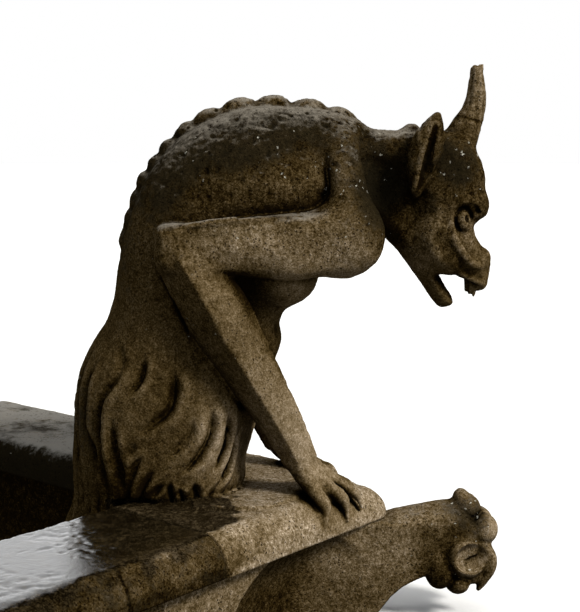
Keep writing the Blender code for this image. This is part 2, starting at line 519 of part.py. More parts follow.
def arm(x, a, z, m):
    # upper arm: a thick slab lying along the flank, its upper edge a crisp ledge
    B = .052 + .028 * smoothstep(-.10, .10, x)
    c = .197 - .032 * smoothstep(-.05, .12, x)
    up = pillow(m["upper"].at(x, z), a - c, B, .026 + .044 * smoothstep(-.20, .08, x), 3.0)
    up = smin(up, ell(x, a, z, (.122, .160, .668), (.092, .092, .092), tilt=-0.15), 0.03)
    # swelling of the muscle
    up = smin(up, ell(x, a, z, (-.085, .205, .642), (.120, .054, .048), tilt=0.05), 0.03)
    # a bead along the ledge, with a groove under it, deepest at the elbow
    up = smin(up, rope(x, a, z, [(-.335, .228, .690), (-.27, .240, .704), (-.18, .242, .715), (-.09, .238, .723), (.0, .230, .729)], [.007, .009, .009, .007, .003], 4), 0.008)
    up = smax(up, -rope(x, a, z, [(-.330, .264, .668), (-.26, .268, .678), (-.17, .266, .690), (-.07, .262, .700)], [.012, .017, .014, .004], 4), 0.012)
    fore = bar(x, a, z, [(-.280, .207, .625), (-.205, .208, .500), (-.158, .196, .410), (-.086, .174, .285), (-.018, .150, .160), (.016, .139, .088)],
               [(.070, .062), (.084, .072), (.080, .068), (.066, .058), (.053, .048), (.047, .041)], (-.30, .93, .18), 5, 1.22)
    d = smin(up, fore, 0.016)
    # the elbow: a blunt block with a flat outer facet
    d = smin(d, bar(x, a, z, [(-.306, .203, .668), (-.307, .202, .620)], [(.038, .050), (.036, .047)], (0, 1, 0), 1, 2.6), 0.020)
    # crease where the upper arm folds over the forearm
    d = smax(d, -rope(x, a, z, [(-.262, .272, .600), (-.215, .276, .593), (-.170, .268, .586), (-.135, .250, .580)], [.006, .014, .016, .011], 4), 0.006)
    # trapezius: a broad column from the neck's root over the shoulder
    trap = rope(x, a, z, [(.094, .050, .918), (.108, .100, .903), (.120, .142, .858), (.130, .160, .800), (.134, .164, .740), (.130, .160, .69)], [.040, .042, .043, .045, .050, .06], 4)
    d = smin(d, trap, 0.045)
    return d

FINGERS = [  # points along each finger and its claw, radii
    ([(.022, .158, .066), (.040, .176, .032), (.056, .192, .008), (.068, .199, -.008), (.073, .203, -.024), (.073, .210, -.042), (.072, .216, -.064)], [.023, .021, .0195, .0185, .0130, .0075, .0035]),
    ([(.046, .140, .062), (.074, .147, .034), (.098, .154, .014), (.117, .156, .002), (.127, .156, -.012), (.132, .158, -.034), (.136, .159, -.062)], [.022, .019, .0185, .0190, .0140, .0075, .0035]),
    ([(.060, .118, .064), (.096, .112, .038), (.130, .108, .020), (.150, .107, .012), (.164, .107, .002), (.174, .108, -.014), (.180, .110, -.032)], [.021, .018, .0175, .0180, .0130, .0075, .0035]),
    ([(.050, .100, .064), (.082, .082, .038), (.118, .068, .022), (.142, .062, .015), (.160, .060, .006), (.172, .059, -.006)], [.019, .017, .0160, .0160, .0110, .0045]),
]

def hand(x, a, z, m):
    # back of the hand, spreading from the wrist to the knuckles over the stone's rounded edge
    d = bar(x, a, z, [(.008, .142, .098), (.040, .138, .052), (.072, .132, .022), (.090, .128, .004)], [(.038, .036), (.030, .048), (.022, .056), (.014, .052)], (-.62, .78, 0), 4, 2.2)
    for pts, r in FINGERS:
        d = smin(d, rope(x, a, z, pts, r, 4), 0.014)
    return d

def head(x, a, z, m):
    d = pillow(m["head"].at(x, z), a, m["headB"].at(x, z), m["headR"].at(x, z), 2.2)
    # cheek: a flat plane from the temple down to the mouth's corner
    d = smin(d, ell(x, a, z, (.390, .052, .640), (.052, .048, .088), tilt=-0.45), 0.026)
    d = smax(d, -ell(x, a, z, (.390, .138, .636), (.034, .047, .052), tilt=-0.45), 0.020)
    # the muzzle's side falls away in front of the cheek's edge
    d = smax(d, -rope(x, a, z, [(.474, .112, .694), (.473, .112, .664), (.484, .110, .632), (.502, .106, .606)], [.018, .042, .042, .026], 4), 0.006)
    # edge of the cheek, from the lower lid to the nostril's wing
    d = smin(d, rope(x, a, z, [(.408, .085, .692), (.415, .090, .664), (.427, .090, .638), (.444, .083, .612), (.464, .074, .593), (.488, .062, .584)], [.004, .009, .0115, .0115, .0105, .007], 4), 0.006)
    # brow, eye socket and ball
    d = smin(d, rope(x, a, z, [(.430, .082, .752), (.452, .078, .750), (.472, .068, .745), (.486, .050, .742), (.492, .030, .740)], [.006, .010, .016, .021, .022], 4), 0.024)
    d = smax(d, -ell(x, a, z, (.446, .102, .704), (.030, .040, .042), tilt=-0.12), 0.006)
    d = smax(d, -rope(x, a, z, [(.428, .100, .736), (.444, .100, .741), (.462, .094, .737), (.476, .084, .729), (.486, .072, .722)], [.003, .0075, .0095, .008, .003], 4), 0.004)
    d = smin(d, ell(x, a, z, (.441, .062, .702), (.024, .031, .037), tilt=-0.12), 0.002)
    d = smax(d, -ell(x, a, z, (.450, .092, .706), (.0065, .012, .0105), tilt=-0.3), 0.002)
    # the lower lid's outer fold and its small creases
    d = smin(d, rope(x, a, z, [(.413, .083, .724), (.408, .087, .703), (.413, .088, .682), (.426, .084, .666)], [.003, .006, .0065, .003], 4), 0.006)
    for k in range(3):
        d = smax(d, -rope(x, a, z, [(.406 + .002 * k, .097, .692 - .011 * k), (.394 + .003 * k, .100, .689 - .015 * k)], [.0035, .0015], 2), 0.005)
    # nostril's wing and nostril
    d = smin(d, ell(x, a, z, (.502, .032, .600), (.024, .026, .024)), 0.014)
    d = smax(d, -ell(x, a, z, (.493, .060, .590), (.0075, .010, .0050), tilt=.5), 0.005)
    d = smax(d, -ell(x, a, z, (.527, .030, .588), (.010, .009, .008)), 0.004)
    # a full upper lip, and its rim along the jaw
    d = smin(d, ell(x, a, z, (.474, .030, .580), (.040, .036, .028), tilt=-.5), 0.018)
    d = smin(d, ell(x, a, z, (.460, .044, .588), (.028, .030, .020)), 0.012)
    d = smin(d, rope(x, a, z, [(.440, .064, .562), (.460, .060, .552), (.484, .052, .540), (.504, .038, .530), (.514, .018, .525)], [.003, .005, .006, .007, .006], 4), 0.014)
    # inside of the mouth
    d = smax(d, -ell(x, a, z, (.452, .0, .525), (.055, .030, .028), tilt=0.75), 0.008)
    # broken teeth under the lip
    d = smin(d, ell(x, a, z, (.498, .022, .526), (.018, .016, .014), tilt=0.30), 0.005)
    for tx, ty, r, L in ((.479, .027, .009, .032), (.488, .026, .009, .039), (.500, .022, .009, .022)):
        d = smin(d, cone(x, a, z, (tx, ty, .538), (tx - .003, ty, .538 - L), r, r * .50), 0.004)
    return d

def ear(x, a, z, m):
    # leaf-shaped shell leaning out: a thin rim runs up its middle, behind a deep slit; the front flap is broad
    e = m["ear"].at(x, z)
    t = a - (.096 + .10 * (z - .86))
    d = pillow(e, t, .027, .024, 2.2)
    # the slit, widening downwards into a hollow
    d = smax(d, -rope(x, t, z, [(.318, .030, .790), (.328, .026, .820), (.338, .026, .860), (.347, .028, .900), (.357, .030, .940)], [.007, .0125, .0115, .009, .004], 5), 0.003)
    d = smax(d, -ell(x, t, z, (.342, .030, .832), (.013, .022, .020), tilt=0.3), 0.004)
    return smin(d, rope(x, t, z, [(.307, .016, .780), (.312, .021, .815), (.321, .024, .865), (.333, .022, .915), (.347, .014, .950)], [.008, .0075, .0065, .006, .003], 5), 0.004)

def horn(x, a, z, m):
    # a claw-like horn, bowed to the front, with a fine growth ring and shallow flutes, broken off ragged at the top
    pts = [(.428, 0, .870), (.446, 0, .905), (.4625, 0, .940), (.4765, 0, .970), (.4855, 0, .997), (.4885, 0, 1.024), (.4885, 0, 1.058), (.4880, 0, 1.090), (.4880, 0, 1.125)]
    siz = [(.056, .058), (.046, .050), (.0385, .042), (.0315, .035), (.0280, .030), (.0245, .026), (.0200, .021), (.0165, .017), (.0155, .016)]
    d = bar(x, a, z, pts, siz, (0, 1, 0), 5, 2.0)
    th = np.arctan2(a, x - np.interp(z, [p[2] for p in pts], [p[0] for p in pts]))
    d = d + .0010 * np.sin(th * 7.0 + z * 9.0) * smoothstep(.93, .99, z)
    d = d + .0022 * smoothstep(.005, .0, np.abs(z - .958 + .25 * (x - .48))) * smoothstep(.44, .47, x)
    top = 1.0975 + .22 * (x - .488) + .0024 * np.sin(x * 330.0) + .0022 * np.sin(a * 300.0 + 1.0)
    return smax(d, z - top, 0.002)

def figure(x, y, z, m):
    a = np.abs(y)
    d = boxed(x, a, z, (-.62, 0, -.30), (.34, .24, 1.05), lambda x, a, z: body(x, a, z, m), 0.12)
    # the left arm stands a little further back than the right
    xa = x + (.034 * smoothstep(.42, .22, z) - .010 * smoothstep(.30, .40, z)) * (y > 0)
    za = z + .010 * smoothstep(.0, .05, z) * smoothstep(.40, .16, z) * (y > 0)
    arms = boxed(xa, a, za, (-.37, .02, .02), (.25, .30, 1.0), lambda x, a, z: arm(x, a, z, m), 0.12)
    d = smin(d, arms, .008 + .060 * smoothstep(.82, .93, z))
    # the crease over the arm, curling up behind the shoulder's column
    d = smax(d, -boxed(x, a, z, (-.16, .10, .70), (.12, .26, .93), lambda x, a, z: rope(x, a, z, [(-.14, .240, .7285), (-.05, .232, .738), (.02, .220, .744), (.056, .212, .753), (.070, .206, .774), (.072, .199, .800), (.069, .192, .822)], [.003, .007, .010, .013, .010, .005, .002], 4), 0.04), 0.016)
    d = smin(d, boxed(xa, a, za, (-.03, .02, -.08), (.21, .24, .14), lambda x, a, z: hand(x, a, z + worn_corner(x, z), m), 0.05), 0.008)
    h = boxed(x, a, z, (.0, 0, .45), (.56, .12, 1.0), lambda x, a, z: head(x, a, z, m), 0.10)
    h = smin(h, boxed(x, a, z, (.36, 0, .84), (.53, .07, 1.14), lambda x, a, z: horn(x, a, z, m), 0.06), 0.012)
    e = boxed(x, a, z, (.28, .05, .74), (.40, .14, .99), lambda x, a, z: ear(x, a, z, m), 0.05)
    # the left ear is broken off short, on a slant
    e = np.where(y > 0, smax(e, z - .800 - .5 * (x - .33), 0.006), e)
    h = smin(h, e, 0.010)
    d = smin(d, h, 0.035)
    return d

def whole(x, y, z, m):
    d = figure(x, y, z, m)
    c = boxed(x, y, z, (-.50, -.48, -.10), (.27, .48, .0), corner, 0.10)
    # a thin plinth under the figure, dying into the roll
    c1, c2 = across(x, y)
    foot = np.maximum(np.maximum(np.abs(y) - .252, np.maximum(-.262 - x, x - .12)), np.maximum(z - .007, np.maximum(c1, c2) - .125))
    c = smin(c, np.maximum(foot, -.09 - z), 0.012)
    d = smin(d, c, 0.010)
    return np.maximum(d, -COP_H - z)

# ================================================================ closed surfaces from the fields
def cell_codes(ins):
    """For every grid cell, which of its eight corners are in the stone, as one byte."""
    a = ins.astype(np.uint8)
    code = np.zeros((a.shape[0] - 1, a.shape[1] - 1, a.shape[2] - 1), np.uint8)
    for b in range(8):
        i, j, k = b >> 2 & 1, b >> 1 & 1, b & 1
        code |= a[i:a.shape[0] - 1 + i, j:a.shape[1] - 1 + j, k:a.shape[2] - 1 + k] << b
    return code

def split_codes():
    """Corner patterns whose stone or whose air falls into separate groups within one cell."""
    bad = np.zeros(256, bool)
    for code in range(1, 255):
        for want in (1, 0):
            left = {b for b in range(8) if (code >> b & 1) == want}
            stack = [left.pop()]
            while stack:
                b = stack.pop()
                for bit in (1, 2, 4):
                    if b ^ bit in left:
                        left.discard(b ^ bit)
                        stack.append(b ^ bit)
            if left:
                bad[code] = True
    return bad

def settle(vol):
    """Adds a corner of stone wherever two sheets of surface would meet in one cell, so that the surface is a clean closed skin."""
    bad = split_codes()
    for turn in range(60):
        cells = np.argwhere(bad[cell_codes(vol < 0)])
        if not len(cells):
            break
        best = np.full(len(cells), 9e9)
        pick = cells.copy()
        for b in range(8):
            c = cells + [b >> 2 & 1, b >> 1 & 1, b & 1]
            v = vol[c[:, 0], c[:, 1], c[:, 2]]
            m = (v >= 0) & (v < best)
            best[m] = v[m]
            pick[m] = c[m]
        vol[pick[:, 0], pick[:, 1], pick[:, 2]] = -1e-4
    return vol

def one_body(v, q):
    """Keeps the largest connected skin."""
    lab = np.arange(len(v))
    while True:
        low = lab[q].min(1)
        new = lab.copy()
        for k in range(4):
            np.minimum.at(new, q[:, k], low)
        new = new[new]
        if (new == lab).all():
            break
        lab = new
    ids, count = np.unique(lab[q[:, 0]], return_counts=True)
    keep = lab == ids[count.argmax()]
    index = np.cumsum(keep) - 1
    return v[keep], index[q[keep[q[:, 0]]]]

def skin(field, lo, hi, h):
    vol, total = voxels(field, lo, hi, h)
    v, q = surface_nets(settle(vol), lo, h)
    return one_body(v, q)

# ================================================================ building
FIGURE_GRID = 0.0085        # grid step of the figure
STONE_GRID = 0.0085         # grid step of the corner stone
FIGURE_FACES = 7400
STONE_FACES = 1500

COLOURS = {
    "gargoyle": (0.235, 0.195, 0.140),
    "coping_right": (0.200, 0.165, 0.120),
    "coping_left": (0.150, 0.130, 0.105),
    "crocket_corbel": (0.225, 0.180, 0.125),
    "parapet_right": (0.215, 0.180, 0.135),
    "parapet_left": (0.150, 0.130, 0.105),
}

def clear_scene():
    for o in list(bpy.data.objects):
        bpy.data.objects.remove(o, do_unlink=True)

def stone(name, colour):
    m = bpy.data.materials.new(name)
    m.use_nodes = True
    p = m.node_tree.nodes["Principled BSDF"]
    p.inputs["Base Color"].default_value = (*colour, 1.0)
    p.inputs["Roughness"].default_value = 0.92
    p.inputs["Metallic"].default_value = 0.0
    return m

def place(name, mesh):
    o = bpy.data.objects.new(name, mesh)
    bpy.context.scene.collection.objects.link(o)
    o.data.materials.append(stone(name, COLOURS[name]))
    return o

def carved(name, field, lo, hi, step, faces, flats):
    """A carved stone: the field's skin, thinned to about the given number of triangles; flats are (axis as a unit vector, offset) planes its flat faces lie on."""
    v, q = skin(field, lo, hi, step)
    v = v + [0, 0, BASE]
    me = bpy.data.meshes.new(name)
    me.from_pydata(v.tolist(), [], q.tolist())
    o = place(name, me)
    dec = o.modifiers.new("thin", "DECIMATE")
    dec.decimate_type = "COLLAPSE"
    dec.ratio = faces / (2.0 * len(q))
    dec.use_collapse_triangulate = True
    graph = bpy.context.evaluated_depsgraph_get()
    thin = bpy.data.meshes.new_from_object(o.evaluated_get(graph))
    o.modifiers.clear()
    o.data = thin
    bm = bmesh.new()
    bm.from_mesh(thin)
    for n, off in flats:
        for w in bm.verts:
            s = w.co.x * n[0] + w.co.y * n[1] + w.co.z * n[2] - off
            if abs(s) < 0.0025 or s > 0:
                w.co.x -= s * n[0]; w.co.y -= s * n[1]; w.co.z -= s * n[2]
    bmesh.ops.dissolve_degenerate(bm, dist=1e-5, edges=bm.edges)
    bmesh.ops.triangulate(bm, faces=bm.faces)
    bm.normal_update()
    bm.to_mesh(thin)
    bm.free()
    return o

def extruded(name, profile, near, start, end):
    """A straight stone: profile is (distance across the run, height), drawn out along the run from start to end."""
    bm = bmesh.new()
    sign = 1 if near else -1
    def at(c1, c2, z):
        # c1 across and c2 along; the far run is the near run's mirror image
        x, y = (c1 + c2) / R2, (c2 - c1) / R2
        return (x, y * sign, z + BASE)
    rings = []
    for c2 in (start, end):
        rings.append([bm.verts.new(at(c1, c2, z)) for c1, z in profile])
    n = len(profile)
    for i in range(n):
        j = (i + 1) % n
        bm.faces.new((rings[0][i], rings[0][j], rings[1][j], rings[1][i]))
    bm.faces.new(rings[0][::-1])
    bm.faces.new(rings[1])
    bmesh.ops.recalc_face_normals(bm, faces=bm.faces)
    me = bpy.data.meshes.new(name)
    bm.to_mesh(me)
    bm.free()
    me.shade_smooth()
    me.set_sharp_from_angle(angle=math.radians(35))
    return place(name, me)

def coping_profile():
    """Flat top, with a big roll on the outer edge and a smaller one on the inner edge."""
    p = [(TOP_OUT + NOSE_W * math.sin(a), -NOSE_H + NOSE_H * math.cos(a)) for a in [math.radians(7.5 * i) for i in range(13)]]
    p.append((TOP_OUT + NOSE_W, -COP_H))
    p.append((TOP_IN - LIP_W, -COP_H))
    p += [(TOP_IN - LIP_W * math.cos(a), -LIP_H + LIP_H * math.sin(a)) for a in [math.radians(10 * i) for i in range(10)]]
    return p

def wall_profile():
    return [(WALL_OUT, -COP_H - GAP), (WALL_OUT, -BASE), (WALL_IN, -BASE), (WALL_IN, -COP_H - GAP)]

def build():
    clear_scene()
    m = setup()
    mb = setup_base()
    r = 1 / R2
    carved("gargoyle", lambda x, y, z: whole(x, y, z, m), (-.70, -.52, -.14), (.60, .52, 1.14), FIGURE_GRID, FIGURE_FACES,
           [((0, 0, -1), COP_H - BASE), ((-r, r, 0), -JOINT), ((-r, -r, 0), -JOINT)])
    carved("crocket_corbel", lambda x, y, z: crocket(x, y, z, mb), (-.66, -.60, -.42), (.64, .60, .02), STONE_GRID, STONE_FACES,
           [((0, 0, -1), 0.0)])
    for near in (True, False):
        side = "right" if near else "left"
        length = NEAR_L if near else FAR_L
        extruded("coping_" + side, coping_profile(), near, JOINT - GAP, -length)
        extruded("parapet_" + side, wall_profile(), near, WALL_JOINT - GAP, -length)

build()
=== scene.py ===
"""Weathered stone gargoyle on a parapet corner: the looks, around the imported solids.

The carved stones are meshed again here, finely, from the same signed distances as the solids, then worn with small noise.
x, y, z in the field functions are measured from the coping's flat top, which is BASE above the underside.
"""
import math
import bpy
import bmesh
import numpy as np
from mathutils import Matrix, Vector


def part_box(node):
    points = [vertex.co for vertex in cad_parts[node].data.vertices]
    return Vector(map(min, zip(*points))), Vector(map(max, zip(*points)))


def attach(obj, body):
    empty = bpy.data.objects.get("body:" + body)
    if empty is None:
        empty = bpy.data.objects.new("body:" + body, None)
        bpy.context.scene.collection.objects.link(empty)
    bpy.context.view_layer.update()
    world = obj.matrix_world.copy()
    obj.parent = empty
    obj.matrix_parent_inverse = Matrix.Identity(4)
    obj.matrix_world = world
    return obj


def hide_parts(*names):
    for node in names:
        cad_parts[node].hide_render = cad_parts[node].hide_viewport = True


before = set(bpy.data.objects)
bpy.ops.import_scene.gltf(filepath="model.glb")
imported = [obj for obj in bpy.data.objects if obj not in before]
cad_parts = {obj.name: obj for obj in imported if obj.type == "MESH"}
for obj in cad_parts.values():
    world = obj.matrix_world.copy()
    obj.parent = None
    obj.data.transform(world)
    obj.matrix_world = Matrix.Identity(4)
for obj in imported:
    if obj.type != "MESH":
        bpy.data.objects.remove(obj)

F = np.float32

# ------------------------------------------------------------------ small tools
def smoothstep(a, b, t):
    t = np.clip((t - a) / (b - a), 0.0, 1.0)
    return t * t * (3.0 - 2.0 * t)

def smin(a, b, k):
    h = np.maximum(k - np.abs(a - b), 0.0) / k
    return np.minimum(a, b) - h * h * k * 0.25

def smax(a, b, k):
    return -smin(-a, -b, k)

def spline(points, n=8, closed=False):
    """Catmull-Rom curve through points, n steps a span."""
    p = np.asarray(points, float)
    m = len(p)
    out = []
    spans = m if closed else m - 1
    for i in range(spans):
        if closed:
            a, b, c, d = p[(i - 1) % m], p[i], p[(i + 1) % m], p[(i + 2) % m]
        else:
            a, b, c, d = p[max(i - 1, 0)], p[i], p[i + 1], p[min(i + 2, m - 1)]
        for j in range(n):
            t = j / n
            out.append(0.5 * (2 * b + (c - a) * t + (2 * a - 5 * b + 4 * c - d) * t * t + (3 * b - a - 3 * c + d) * t ** 3))
    if not closed:
        out.append(p[-1])
    return np.array(out)

class Sheet:
    """A map over the side view: a value for every (x, z), read by bilinear interpolation."""
    def __init__(s, lo, hi, step):
        s.lo, s.step = np.array(lo, float), step
        s.n = [int(round((hi[i] - lo[i]) / step)) + 1 for i in (0, 1)]
        gx = lo[0] + step * np.arange(s.n[0])
        gz = lo[1] + step * np.arange(s.n[1])
        s.X, s.Z = np.meshgrid(gx, gz, indexing="ij")
        s.v = np.zeros(s.n)
    def at(s, x, z):
        u = np.clip((x - s.lo[0]) / s.step, 0, s.n[0] - 1.001)
        w = np.clip((z - s.lo[1]) / s.step, 0, s.n[1] - 1.001)
        i, j = u.astype(np.int32), w.astype(np.int32)
        u, w = (u - i).astype(F), (w - j).astype(F)
        v = s.v
        return (v[i, j] * (1 - u) + v[i + 1, j] * u) * (1 - w) + (v[i, j + 1] * (1 - u) + v[i + 1, j + 1] * u) * w

def outline(points, lo, hi, step, n=6, sharp=False):
    """Signed distance to a closed outline in the side view, negative inside."""
    s = Sheet(lo, hi, step)
    c = np.asarray(points, float) if sharp else spline(points, n, True)
    best = np.full(s.X.shape, 1e9)
    inside = np.zeros(s.X.shape, bool)
    for a, b in zip(c, np.roll(c, -1, 0)):
        e = b - a
        l2 = float(e @ e)
        if l2 < 1e-12:
            continue
        px, pz = s.X - a[0], s.Z - a[1]
        t = np.clip((px * e[0] + pz * e[1]) / l2, 0, 1)
        best = np.minimum(best, (px - t * e[0]) ** 2 + (pz - t * e[1]) ** 2)
        if a[1] != b[1]:
            cross = ((a[1] > s.Z) != (b[1] > s.Z)) & (s.X < a[0] + (s.Z - a[1]) * e[0] / e[1])
            inside ^= cross
    s.v = np.where(inside, -1.0, 1.0) * np.sqrt(best)
    s.v = s.v.astype(F)
    return s

def pillow(f2, y, B, R, n=2.0):
    """Body with side outline f2, half-width B, rounded over the width R inside the outline."""
    q1 = np.maximum(R + f2, 0.0) / R
    q2 = np.abs(y) / B
    if n == 2.0:
        k0 = np.sqrt(q1 * q1 + q2 * q2) + 1e-6
        g = np.sqrt((q1 / R) ** 2 + (q2 / B) ** 2) + 1e-6
        return k0 * (k0 - 1.0) / g
    k0 = (q1 ** n + q2 ** n + 1e-9) ** (1.0 / n)
    g = np.sqrt(((q1 + 1e-6) ** (n - 1) / R) ** 2 + ((q2 + 1e-6) ** (n - 1) / B) ** 2) / k0 ** (n - 1) + 1e-6
    return (k0 - 1.0) / g

def ell(x, y, z, c, r, tilt=0.0, yaw=0.0, roll=0.0):
    """Ellipsoid; tilt turns it in the side view (about Y, nose down positive), yaw about Z, roll about X."""
    x, y, z = x - c[0], y - c[1], z - c[2]
    if tilt:
        ct, st = math.cos(tilt), math.sin(tilt)
        x, z = x * ct - z * st, x * st + z * ct
    if yaw:
        ct, st = math.cos(yaw), math.sin(yaw)
        x, y = x * ct + y * st, -x * st + y * ct
    if roll:
        ct, st = math.cos(roll), math.sin(roll)
        y, z = y * ct + z * st, -y * st + z * ct
    a, b, d = x / r[0], y / r[1], z / r[2]
    k0 = np.sqrt(a * a + b * b + d * d) + 1e-6
    k1 = np.sqrt((a / r[0]) ** 2 + (b / r[1]) ** 2 + (d / r[2]) ** 2) + 1e-6
    return k0 * (k0 - 1.0) / k1

def cone(x, y, z, a, b, ra, rb):
    a, b = np.asarray(a, float), np.asarray(b, float)
    e = b - a
    px, py, pz = x - a[0], y - a[1], z - a[2]
    t = np.clip((px * e[0] + py * e[1] + pz * e[2]) / float(e @ e), 0, 1)
    return np.sqrt((px - t * e[0]) ** 2 + (py - t * e[1]) ** 2 + (pz - t * e[2]) ** 2) - (ra + (rb - ra) * t)

def rope(x, y, z, points, radii, n=4):
    """Round tube of changing radius along a smooth curve."""
    c = spline([list(p) + [r] for p, r in zip(points, radii)], n)
    d = None
    for a, b in zip(c[:-1], c[1:]):
        v = cone(x, y, z, a[:3], b[:3], a[3], b[3])
        d = v if d is None else np.minimum(d, v)
    return d

def bar(x, y, z, points, sizes, side, n=4, p=2.0):
    """Limb with an oval or lozenge section: sizes are (half-depth in the plane across side, half-width along side)."""
    c = spline([list(q) + list(s) for q, s in zip(points, sizes)], n)
    d = None
    side = np.asarray(side, float)
    for a, b in zip(c[:-1], c[1:]):
        e = b[:3] - a[:3]
        L = np.linalg.norm(e)
        T = e / L
        S = side - T * (side @ T)
        S /= np.linalg.norm(S)
        N = np.cross(S, T)
        qx, qy, qz = x - a[0], y - a[1], z - a[2]
        w = qx * T[0] + qy * T[1] + qz * T[2]
        t = np.clip(w / L, 0, 1)
        w = w - t * L
        u = qx * N[0] + qy * N[1] + qz * N[2]
        v = qx * S[0] + qy * S[1] + qz * S[2]
        ru = a[3] + (b[3] - a[3]) * t
        rv = a[4] + (b[4] - a[4]) * t
        rw = np.minimum(ru, rv)
        au, av, aw = np.abs(u) / ru, np.abs(v) / rv, np.abs(w) / rw
        if p == 2.0:
            k0 = np.sqrt(au * au + av * av + aw * aw) + 1e-6
            k1 = np.sqrt((au / ru) ** 2 + (av / rv) ** 2 + (aw / rw) ** 2) + 1e-6
            g = k0 * (k0 - 1) / k1
        else:
            k0 = (au ** p + av ** p + aw ** p + 1e-9) ** (1 / p)
            k1 = np.sqrt(((au + 1e-5) ** (p - 1) / ru) ** 2 + ((av + 1e-5) ** (p - 1) / rv) ** 2 + ((aw + 1e-5) ** (p - 1) / rw) ** 2) / k0 ** (p - 1) + 1e-6
            g = (k0 - 1) / k1
        d = g if d is None else np.minimum(d, g)
    return d

# ------------------------------------------------------------------ polygoniser
def voxels(field, lo, hi, h, safety=1.7):
    """Samples field on a grid of step h, finely only near the surface."""
    n = [int(math.ceil((hi[i] - lo[i]) / h / 8)) * 8 for i in range(3)]
    vol = np.full(n, 1.0, F)
    lo = np.asarray(lo, float)
    step = 8
    g = np.stack(np.meshgrid(*[np.arange(0, k, 8) for k in n], indexing="ij"), -1).reshape(-1, 3)
    total = 0
    while True:
        c = (lo + (g + (step - 1) / 2.0) * h).astype(F)
        d = field(c[:, 0], c[:, 1], c[:, 2])
        total += len(c)
        near = np.abs(d) < (step * 0.866 + 1.2) * h * (safety if step > 2 else 1.35)
        far = g[~near]
        fd = d[~near]
        # fill far blocks with their centre's value
        if step == 8:
            v = vol.reshape(n[0] // 8, 8, n[1] // 8, 8, n[2] // 8, 8)
            v[far[:, 0] // 8, :, far[:, 1] // 8, :, far[:, 2] // 8, :] = fd[:, None, None, None]
        else:
            for i in range(step):
                for j in range(step):
                    for k in range(step):
                        vol[far[:, 0] + i, far[:, 1] + j, far[:, 2] + k] = fd
        g = g[near]
        if step == 2:
            break
        step //= 2
        o = np.stack(np.meshgrid([0, step], [0, step], [0, step], indexing="ij"), -1).reshape(-1, 3)
        g = (g[:, None, :] + o[None]).reshape(-1, 3)
    o = np.stack(np.meshgrid([0, 1], [0, 1], [0, 1], indexing="ij"), -1).reshape(-1, 3)
    g = (g[:, None, :] + o[None]).reshape(-1, 3)
    for s in range(0, len(g), 400000):
        q = g[s:s + 400000]
        c = (lo + q * h).astype(F)
        vol[q[:, 0], q[:, 1], q[:, 2]] = field(c[:, 0], c[:, 1], c[:, 2])
        total += len(c)
    return vol, total

def surface_nets(vol, lo, h):
    """One vertex a mixed cell, one quad a crossed edge."""
    ins = vol < 0
    s = ins.astype(np.int8)
    c = (s[:-1, :-1, :-1] + s[1:, :-1, :-1] + s[:-1, 1:, :-1] + s[:-1, :-1, 1:] + s[1:, 1:, :-1] + s[1:, :-1, 1:] + s[:-1, 1:, 1:] + s[1:, 1:, 1:])
    cells = np.argwhere((c > 0) & (c < 8))
    idx = np.full(c.shape, -1, np.int32)
    idx[cells[:, 0], cells[:, 1], cells[:, 2]] = np.arange(len(cells))
    corner = [(i, j, k) for i in (0, 1) for j in (0, 1) for k in (0, 1)]
    val = {q: vol[cells[:, 0] + q[0], cells[:, 1] + q[1], cells[:, 2] + q[2]] for q in corner}
    acc = np.zeros((len(cells), 3))
    cnt = np.zeros(len(cells))
    for q in corner:
        for ax in range(3):
            if q[ax]:
                continue
            r = list(q); r[ax] = 1; r = tuple(r)
            a, b = val[q], val[r]
            m = (a < 0) != (b < 0)
            t = np.where(m, a / np.where(m, a - b, 1.0), 0)
            for k in range(3):
                acc[:, k] += np.where(m, q[k] + (t if k == ax else 0), 0)
            cnt += m
    v = np.asarray(lo) + (cells + acc / cnt[:, None]) * h
    quads = []
    for ax in range(3):
        o = [(1, 2), (2, 0), (0, 1)][ax]
        sl0 = [slice(None)] * 3; sl1 = [slice(None)] * 3
        sl0[ax] = slice(0, -1); sl1[ax] = slice(1, None)
        m = ins[tuple(sl0)] != ins[tuple(sl1)]
        e = np.argwhere(m)
        ok = (e[:, o[0]] > 0) & (e[:, o[1]] > 0) & (e[:, o[0]] < c.shape[o[0]]) & (e[:, o[1]] < c.shape[o[1]])
        e = e[ok]
        u = np.zeros(3, int); u[o[0]] = 1
        w = np.zeros(3, int); w[o[1]] = 1
        q = [e - u - w, e - w, e, e - u]
        q = np.stack([idx[p[:, 0], p[:, 1], p[:, 2]] for p in q], 1)
        out = ins[e[:, 0], e[:, 1], e[:, 2]]
        q[~out] = q[~out][:, ::-1]
        quads.append(q)
    return v, np.concatenate(quads)

# ================================================================ the parapet
R2 = math.sqrt(2.0)
TOP_OUT, TOP_IN = 0.131, -0.172      # the flat top's edges, measured across a run
NOSE_W, NOSE_H = 0.075, 0.090        # outer roll
LIP_W, LIP_H = 0.048, 0.080          # inner roll
COP_H = 0.100
WALL_OUT, WALL_IN = 0.150, -0.170
BASE = 0.380
JOINT = -0.470
WALL_JOINT = -0.625
NEAR_L, FAR_L = 1.10, 1.42
PIER = -0.435
GAP = 0.0003

def quad(e1, e2):
    return np.minimum(np.maximum(e1, e2), 0) + np.hypot(np.maximum(e1, 0), np.maximum(e2, 0))

def across(x, y):
    return (x - y) / R2, (x + y) / R2

def oval(e, z, w, h):
    zz = np.maximum(z + h, 0.0)
    k0 = np.sqrt((e / w) ** 2 + (zz / h) ** 2) + 1e-6
    g = np.sqrt((e / w / w) ** 2 + (zz / h / h) ** 2) + 1e-6
    return k0 * (k0 - 1) / g

